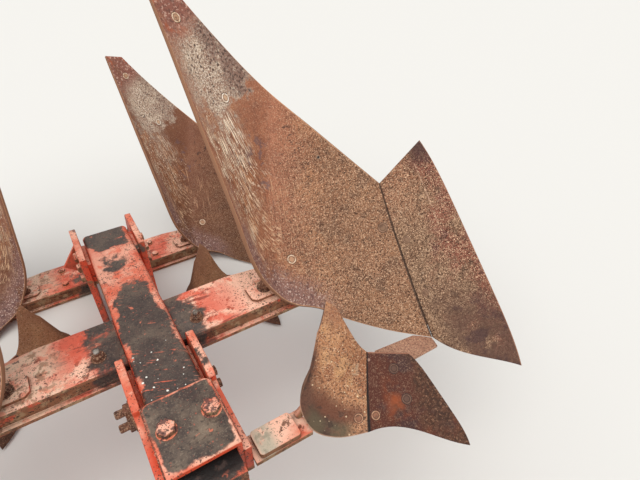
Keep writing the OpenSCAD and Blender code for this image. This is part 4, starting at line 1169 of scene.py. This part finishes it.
# from the sides: y and z, and then y, z and turn
CHEEK_BOLTS = ((395, 430), (450, 430), (395, 385), (450, 385))
SIDE_BOLTS = ((-186, 452, 10), (-212, 436, 40))
# on the legs: by the step plates, on the raised blocks, and the shear bolts
STEP_BOLT_X, STEP_BOLTS = 180, (BODY_PITCH - 28, BODY_PITCH + 62)
BLOCK_X, BLOCK_AHEAD, BLOCK_RISE = 322, 6, 9
SHEAR_X, SHEAR_Y = 123, -9
# radii of the shanks in metres
SLEEVE_R, CHEEK_R, STEP_R, BLOCK_R, NUT_R, HEAD_R, SHEAR_R = (
    0.0105, 0.0085, 0.0075, 0.0105, 0.0098, 0.0070, 0.0088)

sleeve_heads = [(mm(x, SLEEVE_BOLT_Y, SLEEVE_TOP), UP_WAY, SLEEVE_R, turn)
                for x, turn in SLEEVE_BOLTS]
set_bolts("sleeve_bolts", "flange_bolt", sleeve_heads, "frame", SLEEVE_BOLT)
heads = []
for s in SIDES:
    heads += [(mm(s * CHEEK_OUT, y, z), (s, 0, 0), CHEEK_R, 17 * y + z) for y, z in CHEEK_BOLTS]
    heads += [(mm(s * STEP_BOLT_X, y, LEG_TOP), UP_WAY, STEP_R, y) for y in STEP_BOLTS]
set_bolts("frame_bolt_heads", "hex_head", heads, "frame", PAINTED_BOLT)
nuts = []
for end, side, row in ENDS:
    y, z = row * BODY_PITCH - BLOCK_AHEAD, LEG_TOP + (1 - row) * FURROW + BLOCK_RISE
    nuts.append((mm(side * BLOCK_X, y, z), UP_WAY, BLOCK_R, 25 + 30 * row))
set_bolts("leg_block_nuts", "hex_nut", nuts, "frame", RUSTY_BOLT)
# nuts on the left cheek, and the heads of the same bolts on the right
side_nuts, side_heads = [
    [(mm(s * CHEEK_OUT, y, z), (s, 0, 0), radius, turn) for y, z, turn in SIDE_BOLTS]
    for s, radius in ((-1, NUT_R), (1, HEAD_R))]
set_bolts("cheek_nuts", "long_nut", side_nuts, "frame", RUSTY_BOLT)
set_bolts("cheek_heads", "hex_head", side_heads, "frame", RUSTY_BOLT)
shear = [(mm(s * SHEAR_X, SHEAR_Y, LEG_TOP + FURROW), UP_WAY, SHEAR_R, 20) for s in SIDES]
set_bolts("shear_nuts", "hex_nut", shear, "frame", RUSTY_BOLT)
set_bolts("shear_tips", "stud_tip", shear, "frame", BRIGHT_STEEL)
print("bolts on the frame:", len(heads + nuts + side_nuts + side_heads + shear))

# %% Flush heads on the blades
def on_face(shape, a, v, side, row, skimmer):
    """A point of a blade's face and the way out of it."""
    def at(p, q):
        return in_place(shape(np.array([[p]]), np.array([[q]])), side, row, skimmer)[0, 0]
    here = at(a, v)
    along, wide = at(a + SMALL_STEP, v) - here, at(a, v + SMALL_STEP) - here
    way = np.cross(along, wide)
    way /= np.linalg.norm(way)
    return Vector(here), Vector(way if way[1] < 0 else -way)

# columns: the blade's row in BLADES, how far along it, how far across it, radius, finish
FLUSH_AT = [(0, 0.925, 0.54, 0.0082, "ring"), (0, 0.743, 0.66, 0.0085, "bright"),
            (0, 0.383, 0.235, 0.0088, "ring"), (0, 0.04, 0.68, 0.0085, "seam"),
            (0, 0.25, 0.88, 0.0036, "hole"), (1, 0.86, 0.3, 0.006, "seam"),
            (1, 0.86, 0.62, 0.006, "seam"), (2, 0.086, 0.2, 0.0068, "dull"),
            (3, 0.92, 0.2, 0.0068, "dull"), (3, 0.5, 0.43, 0.0072, "dark"),
            (3, 0.52, 0.8, 0.0072, "dark")]
LOOKS = {"ring": HEAD_STEEL, "bright": BRIGHT_HEAD, "dull": DULL_HEAD, "dark": DARK_HEAD,
         "seam": SEAM_HEAD, "hole": SMALL_HOLE}
for look in LOOKS:
    places = []
    for end, side, row in ENDS:
        for which, a, v, radius, kind in FLUSH_AT:
            if kind == look:
                here, way = on_face(BLADES[which][1], a, v, side, row, BLADES[which][4])
                places.append((here, way, radius, 360 * (a + v)))
    set_bolts("flush_heads_" + look, "flush_head", places, "frame", LOOKS[look])
print("flush heads:", 4 * len(FLUSH_AT))

# %% [markdown]
# ## Bolts that the photograph only hints at
# What goes through a blade has a nut behind it, the turnover shaft's flange has its
# ring of bolts, and the towers are bolted to the bearing housing. The same tree sets
# these, on the body that each of them rides on.

# %% Nuts behind the moldboards and bolts on the headstock
# the gap behind a moldboard and the radii of the shanks, in metres
BACK_GAP, BACK_R, FLANGE_R, TOWER_R = 0.0004, 0.0068, 0.0058, 0.0085
# places in millimetres
FLANGE_BACK, BOLT_RING, FLANGE_BOLTS = -706, 62, 8
TOWER_OUT, TOWER_BOLT_Y, TOWER_BOLT_RISE = 94, (-792, -862), (28, -28)

behind = []
for end, side, row in ENDS:
    for which, a, v, radius, kind in FLUSH_AT:
        if which == 0 and kind != "hole":
            here, way = on_face(BLADES[0][1], a, v, side, row, False)
            behind.append((here - way * (BOARD_T / 1000 + BACK_GAP), -way, BACK_R, 500 * a))
set_bolts("moldboard_nuts", "hex_nut", behind, "frame", RUSTY_BOLT)

flange = []
for k in range(FLANGE_BOLTS):
    t = math.radians((k + 0.5) * 360 / FLANGE_BOLTS)
    x, z = BOLT_RING * math.cos(t), AXIS_Z + BOLT_RING * math.sin(t)
    flange.append((mm(x, FLANGE_BACK, z), (0, 1, 0), FLANGE_R, 9 * k))
set_bolts("flange_bolts", "hex_head", flange, "frame", RUSTY_BOLT)

tower_heads = [(mm(s * TOWER_OUT, y, AXIS_Z + z), (s, 0, 0), TOWER_R, y + z)
               for s in SIDES for y in TOWER_BOLT_Y for z in TOWER_BOLT_RISE]
set_bolts("tower_bolts", "hex_head", tower_heads, "headstock", PAINTED_BOLT)
print("hidden bolts:", len(behind + flange + tower_heads))

# %% [markdown]
# ## Weld beads
# Plates and tubes of the headstock and the frame are welded. A bead is a row of
# small overlapping drops along a path, each a little different in size.

# %% The tree that lays a bead
# the gap from drop to drop and the least and greatest size of a drop, in bead radii
DROP_GAP, LEAST_DROP, GREATEST_DROP = 0.85, 0.85, 1.12

def bead_tree():
    tree, start, end = start_tree("lay_bead", [("Radius", "Float", 0.004), ("Seed", "Int", 1)])
    curve = node(tree, "GeometryNodeMeshToCurve", {"Mesh": start.outputs["Geometry"]})
    gap = node(tree, "ShaderNodeMath", {0: start.outputs["Radius"], 1: DROP_GAP},
               operation="MULTIPLY")
    points = node(tree, "GeometryNodeCurveToPoints",
                  {"Curve": curve.outputs[0], "Length": gap.outputs[0]}, mode="LENGTH")
    drop = node(tree, "GeometryNodeMeshUVSphere", {"Segments": 8, "Rings": 5, "Radius": 1.0})
    uneven = node(tree, "FunctionNodeRandomValue",
                  {2: LEAST_DROP, 3: GREATEST_DROP, "Seed": start.outputs["Seed"]},
                  data_type="FLOAT")
    size = node(tree, "ShaderNodeMath", {0: start.outputs["Radius"], 1: uneven.outputs[1]},
                operation="MULTIPLY")
    put = node(tree, "GeometryNodeInstanceOnPoints",
               {"Points": points.outputs["Points"], "Instance": drop.outputs[0],
                "Rotation": points.outputs["Rotation"], "Scale": size.outputs[0]})
    real = node(tree, "GeometryNodeRealizeInstances", {"Geometry": put.outputs["Instances"]})
    smooth = node(tree, "GeometryNodeSetShadeSmooth", {"Geometry": real.outputs[0],
                                                       "Shade Smooth": True})
    return end_tree(tree, start, end, smooth)

LAY_BEAD = bead_tree()

def beads(name, paths, radius, seed, body):
    """Welds along several lists of points in metres."""
    points, edges = [], []
    for path in paths:
        first = len(points)
        edges += [(first + k, first + k + 1) for k in range(len(path) - 1)]
        points += path
    line = bpy.data.meshes.new(name)
    line.from_pydata(points, edges, [])
    grown(name, line, LAY_BEAD, {"Radius": radius, "Seed": seed}, WELD, body)

def hoop(x, y, z, radius, steps=40):
    """A circle of points round a centre, in a plane that the x axis crosses."""
    turns = [2 * math.pi * k / steps for k in range(steps + 1)]
    return [mm(x, y + radius * math.cos(t), z + radius * math.sin(t)) for t in turns]

# %% Welds of the headstock and the frame
# places and radii of the bosses that the welds go round, in millimetres
LINK_Y, LINK_Z, LINK_R, TIE_Y, TIE_Z, TIE_R = -985, 255, 45, -937, 887, 19
# a tower's inner face, and a weld along it: from y to y, and above the shaft
TOWER_IN, TOWER_WELD_Y, TOWER_WELD_RISE = 78, (-752, -878), 46
# the sides of the sleeve and of the beam, and welds along them: from y to y, and at z
SLEEVE_SIDE, SLEEVE_WELD_Y, SLEEVE_WELD_Z = 76.0, (-398, -224), (484.5, 339.5)
BEAM_SIDE, BEAM_WELD_Y, BEAM_WELD_Z = 67.5, (372, 468), 440
# the radius of a bead in metres, and the seed of its drops
HEAD_BEAD, FRAME_BEAD = (0.0038, 4), (0.0034, 7)

head_welds, frame_welds = [], []
for s in SIDES:
    head_welds += [hoop(s * (TOWER_OUT + 1), LINK_Y, LINK_Z, LINK_R),
                   hoop(s * (TOWER_IN - 1), LINK_Y, LINK_Z, LINK_R),
                   hoop(s * (TOWER_IN - 2), TIE_Y, TIE_Z, TIE_R, 24),
                   [mm(s * (TOWER_IN - 1), y, AXIS_Z + TOWER_WELD_RISE) for y in TOWER_WELD_Y]]
    frame_welds += [[mm(s * SLEEVE_SIDE, y, z) for y in SLEEVE_WELD_Y] for z in SLEEVE_WELD_Z]
    frame_welds.append([mm(s * BEAM_SIDE, y, BEAM_WELD_Z) for y in BEAM_WELD_Y])
beads("headstock_welds", head_welds, *HEAD_BEAD, "headstock")
beads("frame_welds", frame_welds, *FRAME_BEAD, "frame")
print("welds:", len(head_welds) + len(frame_welds))

# %% Put the templates away
for made in TEMPLATES.values():
    bpy.data.objects.remove(made)
